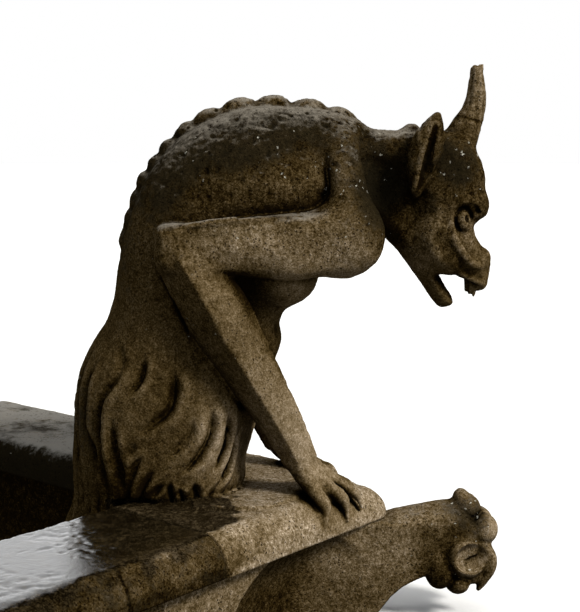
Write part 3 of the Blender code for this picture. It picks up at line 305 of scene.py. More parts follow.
def section(o, i, z):
    """Coping section. o: distance outside the flat top's outer edge; i: the same at its inner edge."""
    do = np.where(o > 0, oval(o, z, NOSE_W, NOSE_H), z)
    di = np.where(i > 0, oval(i, z, LIP_W, LIP_H), z)
    return smax(np.maximum(do, di), -COP_H - z, 0.006)

def worn_corner(x, z):
    """How far the top of the roll is worn down toward the tip of the corner."""
    return .021 * smoothstep(.085, .205, x) * smoothstep(-.10, -.03, z)

def coping_all(x, y, z):
    c1, c2 = across(x, y)
    z = z + worn_corner(x, z)
    return section(quad(c1 - TOP_OUT, c2 - TOP_OUT), TOP_IN - np.maximum(c1, c2), z)

def corner(x, y, z):
    c1, c2 = across(x, y)
    return smax(coping_all(x, y, z), JOINT - np.minimum(c1, c2), 0.006)

def run(x, y, z, near=True):
    c1, c2 = across(x, y)
    if not near:
        c1, c2 = c2, c1
    d = section(c1 - TOP_OUT, TOP_IN - c1, z)
    L = NEAR_L if near else FAR_L
    return smax(d, np.maximum(-L - c2, c2 - (JOINT - GAP)), 0.006)

def wall(x, y, z, near=True):
    c1, c2 = across(x, y)
    if not near:
        c1, c2 = c2, c1
    L = NEAR_L if near else FAR_L
    d = smax(np.maximum(c1 - WALL_OUT, WALL_IN - c1), np.maximum(-L - c2, c2 - (WALL_JOINT - GAP)), 0.006)
    return smax(d, np.maximum(-BASE - z, z + COP_H + GAP), 0.006)

# bracket outline (side view) under the corner
BRACKET = [(-.10, -.102), (.18, -.1003), (.262, -.1003), (.285, -.086), (.34, -.076), (.40, -.067), (.455, -.062), (.50, -.10), (.50, -.19), (.44, -.222), (.377, -.252), (.335, -.268), (.300, -.285), (.266, -.312), (.232, -.355), (.221, -.40), (.222, -.45), (-.10, -.45)]

def setup_base():
    m = {}
    m["bracket"] = outline(BRACKET, (-.2, -.5), (.62, .06), 0.004, sharp=True)
    return m

def leaf(x, a, z):
    """The crocket: a curled leaf with a lobe standing up, one hanging in front, and a cupped lobe on each side."""
    d = ell(x, a, z, (.458, .0, -.165), (.070, .072, .080))
    # top lobe and its crest
    d = smin(d, ell(x, a, z, (.482, .0, -.084), (.042, .056, .036), tilt=.55), 0.016)
    d = smin(d, ell(x, a, z, (.467, .0, -.056), (.021, .030, .022), tilt=.3), 0.008)
    # front lobe
    d = smin(d, ell(x, a, z, (.519, .032, -.138), (.044, .050, .044), tilt=.15), 0.006)
    # lower mass, and the ball behind the cup
    d = smin(d, ell(x, a, z, (.474, .040, -.212), (.060, .060, .062)), 0.015)
    d = smin(d, ell(x, a, z, (.402, .046, -.244), (.042, .046, .054)), 0.006)
    d = smin(d, ell(x, a, z, (.452, .040, -.281), (.034, .042, .034)), 0.006)
    # the leaf's free edge, down to a small hook
    d = smin(d, rope(x, a, z, [(.516, .052, -.172), (.534, .054, -.205), (.536, .050, -.240), (.520, .046, -.282), (.510, .044, -.304)], [.018, .020, .021, .013, .006], 4), 0.010)
    d = smin(d, ell(x, a, z, (.492, .030, -.262), (.034, .038, .030)), 0.008)
    # rough pocket under the top lobe
    d = smax(d, -ell(x, a, z, (.450, .103, -.128), (.046, .042, .033), tilt=-.1), 0.004)
    # the cup: its rim stands out on the inner side and dies away outwards
    d = smin(d, ell(x, a, z, (.460, .046, -.204), (.050, .062, .058)), 0.006)
    return smax(d, -ell(x, a, z, (.490, .113, -.203), (.059, .053, .048)), 0.0025)

def crocket(x, y, z, m):
    a = np.abs(y)
    c1, c2 = across(x, y)
    # corner stone under the coping: wall, pier in the inner corner, scooped out beside the bracket
    out = quad(c1 - WALL_OUT, c2 - WALL_OUT)
    L = np.maximum(out, WALL_IN - np.maximum(c1, c2))
    P = np.maximum(np.maximum(c1, c2) - WALL_OUT, PIER - np.minimum(c1, c2))
    d = np.minimum(L, P)
    d = np.maximum(d, WALL_JOINT - np.minimum(c1, c2))
    cn, cf = np.maximum(c1, c2), np.minimum(c1, c2)   # across and along, on whichever side the point is
    scoop = ell(cn, cf, z, (.175, -.115, -.360), (.130, .322, .262))
    d = smax(d, -scoop, 0.008)
    # its top is sloped off to both sides
    zz = z + .030 * (a / .070) ** 1.5 * smoothstep(-.24, -.14, z) * smoothstep(.24, .30, x)
    b = smax(a - .070, m["bracket"].at(x, zz), 0.010)
    b = np.maximum(b, .0 - x)
    d = smin(d, b, 0.05)
    d = smin(d, leaf(x, a, z), 0.010)
    top = np.where(x < .262, z + COP_H + GAP, z - 1.0)
    nose = coping_all(x, y, z)
    d = np.maximum(d, top)
    d = np.maximum(d, -(nose - .002))
    return np.maximum(d, -BASE - z)

# ================================================================ the figure
def boxed(x, y, z, lo, hi, f, pad=0.09):
    """f evaluated only near the box lo..hi; elsewhere the distance to the box."""
    dx = np.maximum(np.maximum(lo[0] - x, x - hi[0]), 0)
    dy = np.maximum(np.maximum(lo[1] - y, y - hi[1]), 0)
    dz = np.maximum(np.maximum(lo[2] - z, z - hi[2]), 0)
    d = np.sqrt(dx * dx + dy * dy + dz * dz)
    m = d < pad
    if m.any():
        d[m] = f(x[m], y[m], z[m])
    return d

def spread(lo, hi, step, pts, k, size):
    """A smooth map through a few (x, z, value...) notes; k picks the value."""
    s = Sheet(lo, hi, step)
    num = np.zeros(s.X.shape); den = np.zeros(s.X.shape)
    for p in pts:
        r2 = (s.X - p[0]) ** 2 + (s.Z - p[1]) ** 2
        w = np.exp(-r2 / (1.4 * size ** 2)) + 1e-5 / (r2 / size ** 2 + 1.0)
        num += w * p[k]; den += w
    s.v = (num / den).astype(F)
    return s

# ---------------------------------------------------------------- body outline (side view, x forward, z up)
BACK = [(-.575, -.17), (-.574, -.02), (-.574, .09), (-.567, .20), (-.555, .30), (-.519, .38), (-.480, .44), (-.460, .50), (-.448, .575), (-.434, .65), (-.414, .715),
        (-.389, .78), (-.358, .832), (-.318, .882), (-.268, .926), (-.207, .962), (-.14, .986), (-.07, .996), (0.0, .994), (.07, .984), (.13, .964), (.185, .937)]
FRONT = [(.20, .80), (.175, .72), (.125, .640), (.063, .562), (.012, .505), (-.014, .470), (-.028, .435), (-.024, .40), (-.028, .37), (-.053, .30), (-.075, .225), (-.099, .15), (-.117, .09), (-.121, .06), (-.122, .02), (-.13, -.03), (-.14, -.17)]
BODY_NOTES = [  # x, z, half-width, rounding width
    (-.34, -.10, .184, .200), (-.34, .05, .200, .215), (-.34, .20, .208, .225), (-.30, .35, .196, .20), (-.25, .48, .178, .17), (-.24, .60, .182, .15),
    (-.25, .72, .196, .14), (-.25, .84, .196, .12), (-.10, .90, .188, .11), (.02, .90, .165, .10), (.10, .85, .135, .10), (.02, .75, .190, .11), (.02, .60, .150, .10), (-.10, .45, .150, .13),
    (.16, .85, .10, .09), (.13, .70, .12, .09)]

# (the crown, the face and the jaw follow on from one another)
NECK_TOP = [(.02, .95), (.10, .960), (.16, .947), (.21, .937), (.27, .933), (.33, .931), (.39, .927), (.44, .921), (.475, .900)]
FACE = [(.488, .878), (.502, .850), (.511, .815), (.513, .785), (.517, .762), (.519, .738), (.518, .712), (.500, .697), (.487, .684), (.487, .668), (.494, .650), (.508, .630), (.522, .613), (.530, .600), (.533, .584), (.530, .556), (.524, .532), (.510, .519), (.490, .528), (.462, .541), (.432, .555), (.400, .564), (.392, .556)]
JAW = [(.400, .545), (.410, .527), (.424, .505), (.432, .490), (.434, .478), (.424, .469), (.408, .466), (.392, .472), (.358, .517), (.327, .56), (.295, .605), (.26, .642), (.20, .69), (.12, .73), (.05, .76)]
HEAD_NOTES = [
    (.05, .86, .09, .10), (.16, .90, .078, .060), (.25, .90, .076, .050), (.17, .82, .062, .06), (.25, .80, .048, .06), (.29, .74, .056, .06), (.22, .73, .060, .06), (.36, .82, .096, .08), (.42, .84, .097, .075), (.47, .84, .088, .065), (.42, .76, .098, .08), (.48, .76, .074, .05),
    (.44, .70, .080, .05), (.40, .66, .086, .055), (.36, .62, .070, .055), (.46, .63, .068, .045), (.485, .635, .062, .045), (.50, .60, .052, .04), (.52, .57, .046, .04), (.48, .56, .056, .04), (.41, .58, .070, .045),
    (.34, .56, .055, .045), (.40, .50, .040, .030), (.425, .485, .034, .024)]
UPPER_ARM = [(-.337, .699), (-.345, .660), (-.349, .618), (-.322, .594), (-.26, .588), (-.18, .583), (-.10, .574), (-.017, .566), (.06, .571), (.125, .571), (.172, .589), (.203, .618), (.216, .664), (.206, .715), (.160, .748), (.10, .742), (.007, .734), (-.116, .723), (-.238, .707)]
EAR = [(.306, .765), (.296, .80), (.290, .845), (.294, .885), (.308, .922), (.332, .953), (.366, .978), (.378, .955), (.385, .916), (.380, .878), (.360, .830), (.340, .790), (.322, .762)]

# locks of fur on the haunch: furrows as (distance round from the back's midline, height), depth, width
R_FUR = 0.225
def round_of(x, z):
    """How far round the haunch a point of its flank lies, from its x and z in the side view."""
    b = np.interp(z, [-.1, .1, .2, .3, .38, .44, .5], [-.575, -.574, -.566, -.55, -.515, -.484, -.463])
    f = np.interp(z, [-.1, .06, .15, .225, .3, .37, .455], [-.13, -.116, -.095, -.075, -.055, -.036, -.008])
    return math.acos(max(-1, min(1, ((b + f) / 2 - x) / ((f - b) / 2)))) * R_FUR

FURROWS = [  # side-view points, depth, half-width
    ([(-.380, .374), (-.380, .348), (-.386, .318), (-.403, .292), (-.430, .268)], .014, .011),
    ([(-.433, .400), (-.431, .372), (-.430, .340)], .005, .009),
    ([(-.310, .350), (-.305, .312), (-.307, .274), (-.324, .234), (-.367, .200), (-.408, .178)], .017, .014),
    ([(-.262, .226), (-.265, .198), (-.274, .170), (-.299, .141), (-.335, .112)], .012, .013),
    ([(-.226, .262), (-.214, .210), (-.221, .162), (-.244, .119), (-.272, .092), (-.300, .077)], .018, .012),
    ([(-.176, .228), (-.173, .185), (-.179, .138), (-.195, .097), (-.216, .066)], .018, .010),
    ([(-.156, .175), (-.162, .125), (-.170, .086), (-.186, .052), (-.205, .022)], .016, .009),
    ([(-.475, .416), (-.512, .358), (-.532, .303), (-.542, .230), (-.545, .156), (-.541, .072), (-.538, -.006)], .014, .011),
    ([(-.482, .376), (-.503, .321), (-.515, .272), (-.523, .191), (-.507, .139), (-.501, .070), (-.498, .002)], .016, .011),
    ([(-.422, .376), (-.441, .317), (-.477, .258), (-.489, .185), (-.487, .112), (-.475, .049), (-.462, -.008)], .016, .013),
    ([(-.505, .385), (-.535, .310), (-.555, .235), (-.556, .165), (-.552, .090), (-.556, .0)], .016, .010),
    ([(-.446, .236), (-.452, .185), (-.447, .135), (-.438, .085), (-.438, .030), (-.446, -.010)], .013, .012),
    ([(-.382, .132), (-.404, .096), (-.420, .050), (-.428, .003), (-.430, -.02)], .014, .010),
    ([(-.352, .104), (-.372, .068), (-.389, .036), (-.398, -.005), (-.402, -.028)], .013, .009),
    ([(-.330, .052), (-.352, .035), (-.372, .015), (-.380, -.015)], .012, .009),
    ([(-.318, .060), (-.317, .030), (-.312, -.002), (-.318, -.035)], .015, .009),
    ([(-.296, .040), (-.288, .012), (-.284, -.030)], .013, .008),
    ([(-.262, .055), (-.252, .025), (-.250, -.005), (-.256, -.035)], .014, .009),
    ([(-.395, .160), (-.418, .135), (-.438, .118)], .008, .012),
]

def fur_sheet():
    s = Sheet((-.02, -.14), (math.pi * R_FUR + .02, .52), .003)
    v = np.zeros(s.X.shape)
    # broad pleats that follow the flow: straight down, then swept back
    sweep = .085 * smoothstep(.24, -.02, s.Z) * smoothstep(.20, .42, s.X) - .02 * np.sin(s.Z * 9.0)
    psi = s.X + sweep + .010 * np.sin(s.Z * 17 + s.X * 6)
    pleat = np.abs(np.sin(psi * math.pi / .052)) ** 0.8
    v += (0.0012 - 0.0024 * pleat) * smoothstep(.40, .22, s.Z) * (0.6 + 0.4 * smoothstep(.15, .0, s.Z))
    for pts, depth, w in FURROWS:
        w = w * .84; depth = depth * .95
        p = spline([(round_of(x, z), z) for x, z in pts], 5)
        best = np.full(s.X.shape, 9.0); along = np.zeros(s.X.shape); side = np.zeros(s.X.shape)
        n = len(p) - 1
        for i in range(n):
            a, b = p[i], p[i + 1]
            e = b - a
            t = np.clip(((s.X - a[0]) * e[0] + (s.Z - a[1]) * e[1]) / (e @ e), 0, 1)
            qx, qz = s.X - a[0] - t * e[0], s.Z - a[1] - t * e[1]
            d = np.hypot(qx, qz)
            m = d < best
            best[m] = d[m]; along[m] = ((i + t) / n)[m]; side[m] = np.sign(e[0] * qz - e[1] * qx)[m]
        taper = smoothstep(0, .30, along) * smoothstep(1.0, .66, along)
        ww = w * (0.32 + 0.68 * taper)
        v = v + depth * taper * np.exp(-(best / (ww * np.where(side > 0, .72, 1.40))) ** 2)
        # the lock in front of a furrow stands proud
        v -= depth * taper * np.where(side > 0, 0.38, 0.10) * np.exp(-((best - 1.9 * w) / (1.1 * w)) ** 2)
    # the locks part into a fringe at the hem
    fringe = np.abs(np.sin(psi * math.pi / .034 + .5)) ** .7
    v += .009 * (1 - fringe) * smoothstep(.055, .0, s.Z)
    s.v = np.clip(v, -.012, .026).astype(F)
    return s

def setup(step=0.004):
    m = {}
    lo, hi = (-.70, -.25), (.36, 1.10)
    m["body"] = outline(BACK + FRONT, lo, hi, step)
    m["bodyB"] = spread(lo, hi, 0.012, BODY_NOTES, 2, .085)
    m["bodyR"] = spread(lo, hi, 0.012, BODY_NOTES, 3, .085)
    lo, hi = (-.10, .40), (.62, 1.02)
    c = list(map(tuple, spline(NECK_TOP + FACE, 5))) + list(map(tuple, spline(JAW, 5)))
    m["head"] = outline(c, lo, hi, 0.003, sharp=True)
    m["headB"] = spread(lo, hi, 0.008, HEAD_NOTES, 2, .036)
    m["headR"] = spread(lo, hi, 0.008, HEAD_NOTES, 3, .036)
    m["upper"] = outline(UPPER_ARM, (-.44, .48), (.32, .84), 0.003)
    m["ear"] = outline(EAR, (.24, .70), (.44, 1.03), 0.002)
    m["fur"] = fur_sheet()
    return m

def fur(x, a, z, m):
    b = np.interp(z, [-.1, .1, .2, .3, .38, .44, .5], [-.575, -.574, -.566, -.55, -.515, -.484, -.463]).astype(F)
    f = np.interp(z, [-.1, .06, .15, .225, .3, .37, .455], [-.13, -.116, -.095, -.075, -.055, -.036, -.008]).astype(F)
    th = np.arctan2(a / .20, ((b + f) / 2 - x) / ((f - b) / 2)) * R_FUR
    return m["fur"].at(th, z)

def body(x, a, z, m):
    d = pillow(m["body"].at(x, z), a, m["bodyB"].at(x, z), m["bodyR"].at(x, z), 2.2)
    k = z < .5
    if k.any():
        d[k] += fur(x[k], a[k], z[k], m)
    # hem: the locks hang over a hollow on the flank
    d = smax(d, -ell(x, a, z, (-.412, .196, -.006), (.066, .052, .021)), 0.006)
    # the long muscle beside the spine, and the short fold under it
    d = smin(d, rope(x, a, z, [(-.42, .060, .50), (-.395, .085, .620), (-.355, .092, .735), (-.288, .096, .835), (-.19, .096, .905), (-.07, .092, .938), (.04, .088, .934), (.11, .070, .915)], [.014, .030, .040, .046, .046, .044, .042, .028], 4), 0.026)
    d = smax(d, -rope(x, a, z, [(-.185, .150, .912), (-.150, .158, .900), (-.105, .166, .884), (-.070, .172, .872)], [.003, .011, .011, .003], 4), 0.012)
    # the ribs swell forward, over the arm
    d = smin(d, ell(x, a, z, (-.075, .110, .800), (.165, .092, .095)), 0.05)
    # chest under the arm
    d = smin(d, ell(x, a, z, (-.03, .075, .578), (.098, .105, .094), tilt=0.5), 0.03)
    # spine and its knobs
    line = spline(BACK[9:], 4)
    seg = np.sqrt(((line[1:] - line[:-1]) ** 2).sum(1))
    s = np.concatenate([[0], np.cumsum(seg)])
    total = s[-1]
    t = 0.01
    while t < total - 0.01:
        u = t / total
        kx, kz = np.interp(t, s, line[:, 0]), np.interp(t, s, line[:, 1])
        r = 0.013 + 0.018 * min(1, u / .5)
        gap = 0.052 + 0.040 * min(1.0, max(0.0, (u - 0.30) / 0.25)) - 0.014 * max(0.0, (u - 0.7) / 0.3)
        # length along the back follows the spacing, so that the knobs run into each other
        ang = math.atan2(np.interp(t + .01, s, line[:, 1]) - np.interp(t - .01, s, line[:, 1]), np.interp(t + .01, s, line[:, 0]) - np.interp(t - .01, s, line[:, 0]))
        d = smin(d, ell(x, a, z, (kx, 0, kz), (gap * .50, 0.025 + .010 * u, r * .88), tilt=-ang), 0.014)
        t += gap
    # the last knob, at the nape
    d = smin(d, ell(x, a, z, (.318, 0, .934), (.014, .020, .014)), 0.008)
    return d

def arm(x, a, z, m):
    # upper arm: a thick slab lying along the flank, its upper edge a crisp ledge
    B = .052 + .028 * smoothstep(-.10, .10, x)
    c = .197 - .032 * smoothstep(-.05, .12, x)
    up = pillow(m["upper"].at(x, z), a - c, B, .026 + .044 * smoothstep(-.20, .08, x), 3.0)
    up = smin(up, ell(x, a, z, (.122, .160, .668), (.092, .092, .092), tilt=-0.15), 0.03)
    # swelling of the muscle
    up = smin(up, ell(x, a, z, (-.085, .205, .642), (.120, .054, .048), tilt=0.05), 0.03)
    # a bead along the ledge, with a groove under it, deepest at the elbow
    up = smin(up, rope(x, a, z, [(-.335, .228, .690), (-.27, .240, .704), (-.18, .242, .715), (-.09, .238, .723), (.0, .230, .729)], [.007, .009, .009, .007, .003], 4), 0.008)
    up = smax(up, -rope(x, a, z, [(-.330, .264, .668), (-.26, .268, .678), (-.17, .266, .690), (-.07, .262, .700)], [.012, .017, .014, .004], 4), 0.012)
    fore = bar(x, a, z, [(-.280, .207, .625), (-.205, .208, .500), (-.158, .196, .410), (-.086, .174, .285), (-.018, .150, .160), (.016, .139, .088)],
               [(.070, .062), (.084, .072), (.080, .068), (.066, .058), (.053, .048), (.047, .041)], (-.30, .93, .18), 5, 1.22)
    d = smin(up, fore, 0.016)
    # the elbow: a blunt block with a flat outer facet
    d = smin(d, bar(x, a, z, [(-.306, .203, .668), (-.307, .202, .620)], [(.038, .050), (.036, .047)], (0, 1, 0), 1, 2.6), 0.020)
    # crease where the upper arm folds over the forearm
    d = smax(d, -rope(x, a, z, [(-.262, .272, .600), (-.215, .276, .593), (-.170, .268, .586), (-.135, .250, .580)], [.006, .014, .016, .011], 4), 0.006)
    # trapezius: a broad column from the neck's root over the shoulder
    trap = rope(x, a, z, [(.094, .050, .918), (.108, .100, .903), (.120, .142, .858), (.130, .160, .800), (.134, .164, .740), (.130, .160, .69)], [.040, .042, .043, .045, .050, .06], 4)
    d = smin(d, trap, 0.045)
    return d

FINGERS = [  # points along each finger and its claw, radii
    ([(.022, .158, .066), (.040, .176, .032), (.056, .192, .008), (.068, .199, -.008), (.073, .203, -.024), (.073, .210, -.042), (.072, .216, -.064)], [.023, .021, .0195, .0185, .0130, .0075, .0035]),
    ([(.046, .140, .062), (.074, .147, .034), (.098, .154, .014), (.117, .156, .002), (.127, .156, -.012), (.132, .158, -.034), (.136, .159, -.062)], [.022, .019, .0185, .0190, .0140, .0075, .0035]),
    ([(.060, .118, .064), (.096, .112, .038), (.130, .108, .020), (.150, .107, .012), (.164, .107, .002), (.174, .108, -.014), (.180, .110, -.032)], [.021, .018, .0175, .0180, .0130, .0075, .0035]),
    ([(.050, .100, .064), (.082, .082, .038), (.118, .068, .022), (.142, .062, .015), (.160, .060, .006), (.172, .059, -.006)], [.019, .017, .0160, .0160, .0110, .0045]),
]

def hand(x, a, z, m):
    # back of the hand, spreading from the wrist to the knuckles over the stone's rounded edge
    d = bar(x, a, z, [(.008, .142, .098), (.040, .138, .052), (.072, .132, .022), (.090, .128, .004)], [(.038, .036), (.030, .048), (.022, .056), (.014, .052)], (-.62, .78, 0), 4, 2.2)
    for pts, r in FINGERS:
        d = smin(d, rope(x, a, z, pts, r, 4), 0.014)
    return d

def head(x, a, z, m):
    d = pillow(m["head"].at(x, z), a, m["headB"].at(x, z), m["headR"].at(x, z), 2.2)
    # cheek: a flat plane from the temple down to the mouth's corner
    d = smin(d, ell(x, a, z, (.390, .052, .640), (.052, .048, .088), tilt=-0.45), 0.026)
    d = smax(d, -ell(x, a, z, (.390, .138, .636), (.034, .047, .052), tilt=-0.45), 0.020)
    # the muzzle's side falls away in front of the cheek's edge
    d = smax(d, -rope(x, a, z, [(.474, .112, .694), (.473, .112, .664), (.484, .110, .632), (.502, .106, .606)], [.018, .042, .042, .026], 4), 0.006)
    # edge of the cheek, from the lower lid to the nostril's wing
    d = smin(d, rope(x, a, z, [(.408, .085, .692), (.415, .090, .664), (.427, .090, .638), (.444, .083, .612), (.464, .074, .593), (.488, .062, .584)], [.004, .009, .0115, .0115, .0105, .007], 4), 0.006)
    # brow, eye socket and ball
    d = smin(d, rope(x, a, z, [(.430, .082, .752), (.452, .078, .750), (.472, .068, .745), (.486, .050, .742), (.492, .030, .740)], [.006, .010, .016, .021, .022], 4), 0.024)
    d = smax(d, -ell(x, a, z, (.446, .102, .704), (.030, .040, .042), tilt=-0.12), 0.006)
    d = smax(d, -rope(x, a, z, [(.428, .100, .736), (.444, .100, .741), (.462, .094, .737), (.476, .084, .729), (.486, .072, .722)], [.003, .0075, .0095, .008, .003], 4), 0.004)
    d = smin(d, ell(x, a, z, (.441, .062, .702), (.024, .031, .037), tilt=-0.12), 0.002)
    d = smax(d, -ell(x, a, z, (.450, .092, .706), (.0065, .012, .0105), tilt=-0.3), 0.002)
    # the lower lid's outer fold and its small creases
    d = smin(d, rope(x, a, z, [(.413, .083, .724), (.408, .087, .703), (.413, .088, .682), (.426, .084, .666)], [.003, .006, .0065, .003], 4), 0.006)
    for k in range(3):
        d = smax(d, -rope(x, a, z, [(.406 + .002 * k, .097, .692 - .011 * k), (.394 + .003 * k, .100, .689 - .015 * k)], [.0035, .0015], 2), 0.005)
    # nostril's wing and nostril
    d = smin(d, ell(x, a, z, (.502, .032, .600), (.024, .026, .024)), 0.014)
    d = smax(d, -ell(x, a, z, (.493, .060, .590), (.0075, .010, .0050), tilt=.5), 0.005)
    d = smax(d, -ell(x, a, z, (.527, .030, .588), (.010, .009, .008)), 0.004)
    # a full upper lip, and its rim along the jaw
    d = smin(d, ell(x, a, z, (.474, .030, .580), (.040, .036, .028), tilt=-.5), 0.018)
    d = smin(d, ell(x, a, z, (.460, .044, .588), (.028, .030, .020)), 0.012)
    d = smin(d, rope(x, a, z, [(.440, .064, .562), (.460, .060, .552), (.484, .052, .540), (.504, .038, .530), (.514, .018, .525)], [.003, .005, .006, .007, .006], 4), 0.014)
    # inside of the mouth
    d = smax(d, -ell(x, a, z, (.452, .0, .525), (.055, .030, .028), tilt=0.75), 0.008)
    # broken teeth under the lip
    d = smin(d, ell(x, a, z, (.498, .022, .526), (.018, .016, .014), tilt=0.30), 0.005)
    for tx, ty, r, L in ((.479, .027, .009, .032), (.488, .026, .009, .039), (.500, .022, .009, .022)):
        d = smin(d, cone(x, a, z, (tx, ty, .538), (tx - .003, ty, .538 - L), r, r * .50), 0.004)
    return d

def ear(x, a, z, m):
    # leaf-shaped shell leaning out: a thin rim runs up its middle, behind a deep slit; the front flap is broad
    e = m["ear"].at(x, z)
    t = a - (.096 + .10 * (z - .86))
    d = pillow(e, t, .027, .024, 2.2)
    # the slit, widening downwards into a hollow
    d = smax(d, -rope(x, t, z, [(.318, .030, .790), (.328, .026, .820), (.338, .026, .860), (.347, .028, .900), (.357, .030, .940)], [.007, .0125, .0115, .009, .004], 5), 0.003)
    d = smax(d, -ell(x, t, z, (.342, .030, .832), (.013, .022, .020), tilt=0.3), 0.004)
    return smin(d, rope(x, t, z, [(.307, .016, .780), (.312, .021, .815), (.321, .024, .865), (.333, .022, .915), (.347, .014, .950)], [.008, .0075, .0065, .006, .003], 5), 0.004)

def horn(x, a, z, m):
    # a claw-like horn, bowed to the front, with a fine growth ring and shallow flutes, broken off ragged at the top
    pts = [(.428, 0, .870), (.446, 0, .905), (.4625, 0, .940), (.4765, 0, .970), (.4855, 0, .997), (.4885, 0, 1.024), (.4885, 0, 1.058), (.4880, 0, 1.090), (.4880, 0, 1.125)]
    siz = [(.056, .058), (.046, .050), (.0385, .042), (.0315, .035), (.0280, .030), (.0245, .026), (.0200, .021), (.0165, .017), (.0155, .016)]
    d = bar(x, a, z, pts, siz, (0, 1, 0), 5, 2.0)
    th = np.arctan2(a, x - np.interp(z, [p[2] for p in pts], [p[0] for p in pts]))
    d = d + .0010 * np.sin(th * 7.0 + z * 9.0) * smoothstep(.93, .99, z)
    d = d + .0022 * smoothstep(.005, .0, np.abs(z - .958 + .25 * (x - .48))) * smoothstep(.44, .47, x)
    top = 1.0975 + .22 * (x - .488) + .0024 * np.sin(x * 330.0) + .0022 * np.sin(a * 300.0 + 1.0)
    return smax(d, z - top, 0.002)

def figure(x, y, z, m):
    a = np.abs(y)
    d = boxed(x, a, z, (-.62, 0, -.30), (.34, .24, 1.05), lambda x, a, z: body(x, a, z, m), 0.12)
    # the left arm stands a little further back than the right
    xa = x + (.034 * smoothstep(.42, .22, z) - .010 * smoothstep(.30, .40, z)) * (y > 0)
    za = z + .010 * smoothstep(.0, .05, z) * smoothstep(.40, .16, z) * (y > 0)
    arms = boxed(xa, a, za, (-.37, .02, .02), (.25, .30, 1.0), lambda x, a, z: arm(x, a, z, m), 0.12)
    d = smin(d, arms, .008 + .060 * smoothstep(.82, .93, z))
    # the crease over the arm, curling up behind the shoulder's column
    d = smax(d, -boxed(x, a, z, (-.16, .10, .70), (.12, .26, .93), lambda x, a, z: rope(x, a, z, [(-.14, .240, .7285), (-.05, .232, .738), (.02, .220, .744), (.056, .212, .753), (.070, .206, .774), (.072, .199, .800), (.069, .192, .822)], [.003, .007, .010, .013, .010, .005, .002], 4), 0.04), 0.016)
    d = smin(d, boxed(xa, a, za, (-.03, .02, -.08), (.21, .24, .14), lambda x, a, z: hand(x, a, z + worn_corner(x, z), m), 0.05), 0.008)
    h = boxed(x, a, z, (.0, 0, .45), (.56, .12, 1.0), lambda x, a, z: head(x, a, z, m), 0.10)
    h = smin(h, boxed(x, a, z, (.36, 0, .84), (.53, .07, 1.14), lambda x, a, z: horn(x, a, z, m), 0.06), 0.012)
    e = boxed(x, a, z, (.28, .05, .74), (.40, .14, .99), lambda x, a, z: ear(x, a, z, m), 0.05)
    # the left ear is broken off short, on a slant
    e = np.where(y > 0, smax(e, z - .800 - .5 * (x - .33), 0.006), e)
    h = smin(h, e, 0.010)
    d = smin(d, h, 0.035)
    return d

def whole(x, y, z, m):
    d = figure(x, y, z, m)
    c = boxed(x, y, z, (-.50, -.48, -.10), (.27, .48, .0), corner, 0.10)
    # a thin plinth under the figure, dying into the roll
    c1, c2 = across(x, y)
    foot = np.maximum(np.maximum(np.abs(y) - .252, np.maximum(-.262 - x, x - .12)), np.maximum(z - .007, np.maximum(c1, c2) - .125))
    c = smin(c, np.maximum(foot, -.09 - z), 0.012)
    d = smin(d, c, 0.010)
    return np.maximum(d, -COP_H - z)

# ================================================================ closed surfaces from the fields
def cell_codes(ins):
    """For every grid cell, which of its eight corners are in the stone, as one byte."""
    a = ins.astype(np.uint8)
    code = np.zeros((a.shape[0] - 1, a.shape[1] - 1, a.shape[2] - 1), np.uint8)
    for b in range(8):
        i, j, k = b >> 2 & 1, b >> 1 & 1, b & 1
        code |= a[i:a.shape[0] - 1 + i, j:a.shape[1] - 1 + j, k:a.shape[2] - 1 + k] << b
    return code

def split_codes():
    """Corner patterns whose stone or whose air falls into separate groups within one cell."""
    bad = np.zeros(256, bool)
    for code in range(1, 255):
        for want in (1, 0):
            left = {b for b in range(8) if (code >> b & 1) == want}
            stack = [left.pop()]
            while stack:
                b = stack.pop()
                for bit in (1, 2, 4):
                    if b ^ bit in left:
                        left.discard(b ^ bit)
                        stack.append(b ^ bit)
            if left:
                bad[code] = True
    return bad

def settle(vol):
    """Adds a corner of stone wherever two sheets of surface would meet in one cell, so that the surface is a clean closed skin."""
    bad = split_codes()
    for turn in range(60):
        cells = np.argwhere(bad[cell_codes(vol < 0)])
        if not len(cells):
            break
        best = np.full(len(cells), 9e9)
        pick = cells.copy()
        for b in range(8):
            c = cells + [b >> 2 & 1, b >> 1 & 1, b & 1]
            v = vol[c[:, 0], c[:, 1], c[:, 2]]
            m = (v >= 0) & (v < best)
            best[m] = v[m]
            pick[m] = c[m]
        vol[pick[:, 0], pick[:, 1], pick[:, 2]] = -1e-4
    return vol

def one_body(v, q):
    """Keeps the largest connected skin."""
    lab = np.arange(len(v))
    while True:
        low = lab[q].min(1)
        new = lab.copy()
        for k in range(4):
            np.minimum.at(new, q[:, k], low)
        new = new[new]
        if (new == lab).all():
            break
        lab = new
    ids, count = np.unique(lab[q[:, 0]], return_counts=True)
    keep = lab == ids[count.argmax()]
    index = np.cumsum(keep) - 1
    return v[keep], index[q[keep[q[:, 0]]]]

def skin(field, lo, hi, h):
    vol, total = voxels(field, lo, hi, h)
    v, q = surface_nets(settle(vol), lo, h)
    return one_body(v, q)

# ================================================================ the fine stones
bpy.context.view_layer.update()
FINE = 0.0034
STONE_GRID = 0.0050
LIMIT = 190000

def hashed(i, j, k, seed):
    h = i.astype(np.uint32) * np.uint32(374761393) + j.astype(np.uint32) * np.uint32(668265263) + k.astype(np.uint32) * np.uint32(2246822519) + np.uint32(seed * 3266489917 & 0xffffffff)
    h = (h ^ (h >> np.uint32(13))) * np.uint32(1274126177)
    h = (h ^ (h >> np.uint32(15))) * np.uint32(2654435761)
    h ^= h >> np.uint32(16)
    return h.astype(np.float32) * np.float32(2.0 / 4294967296.0) - np.float32(1.0)

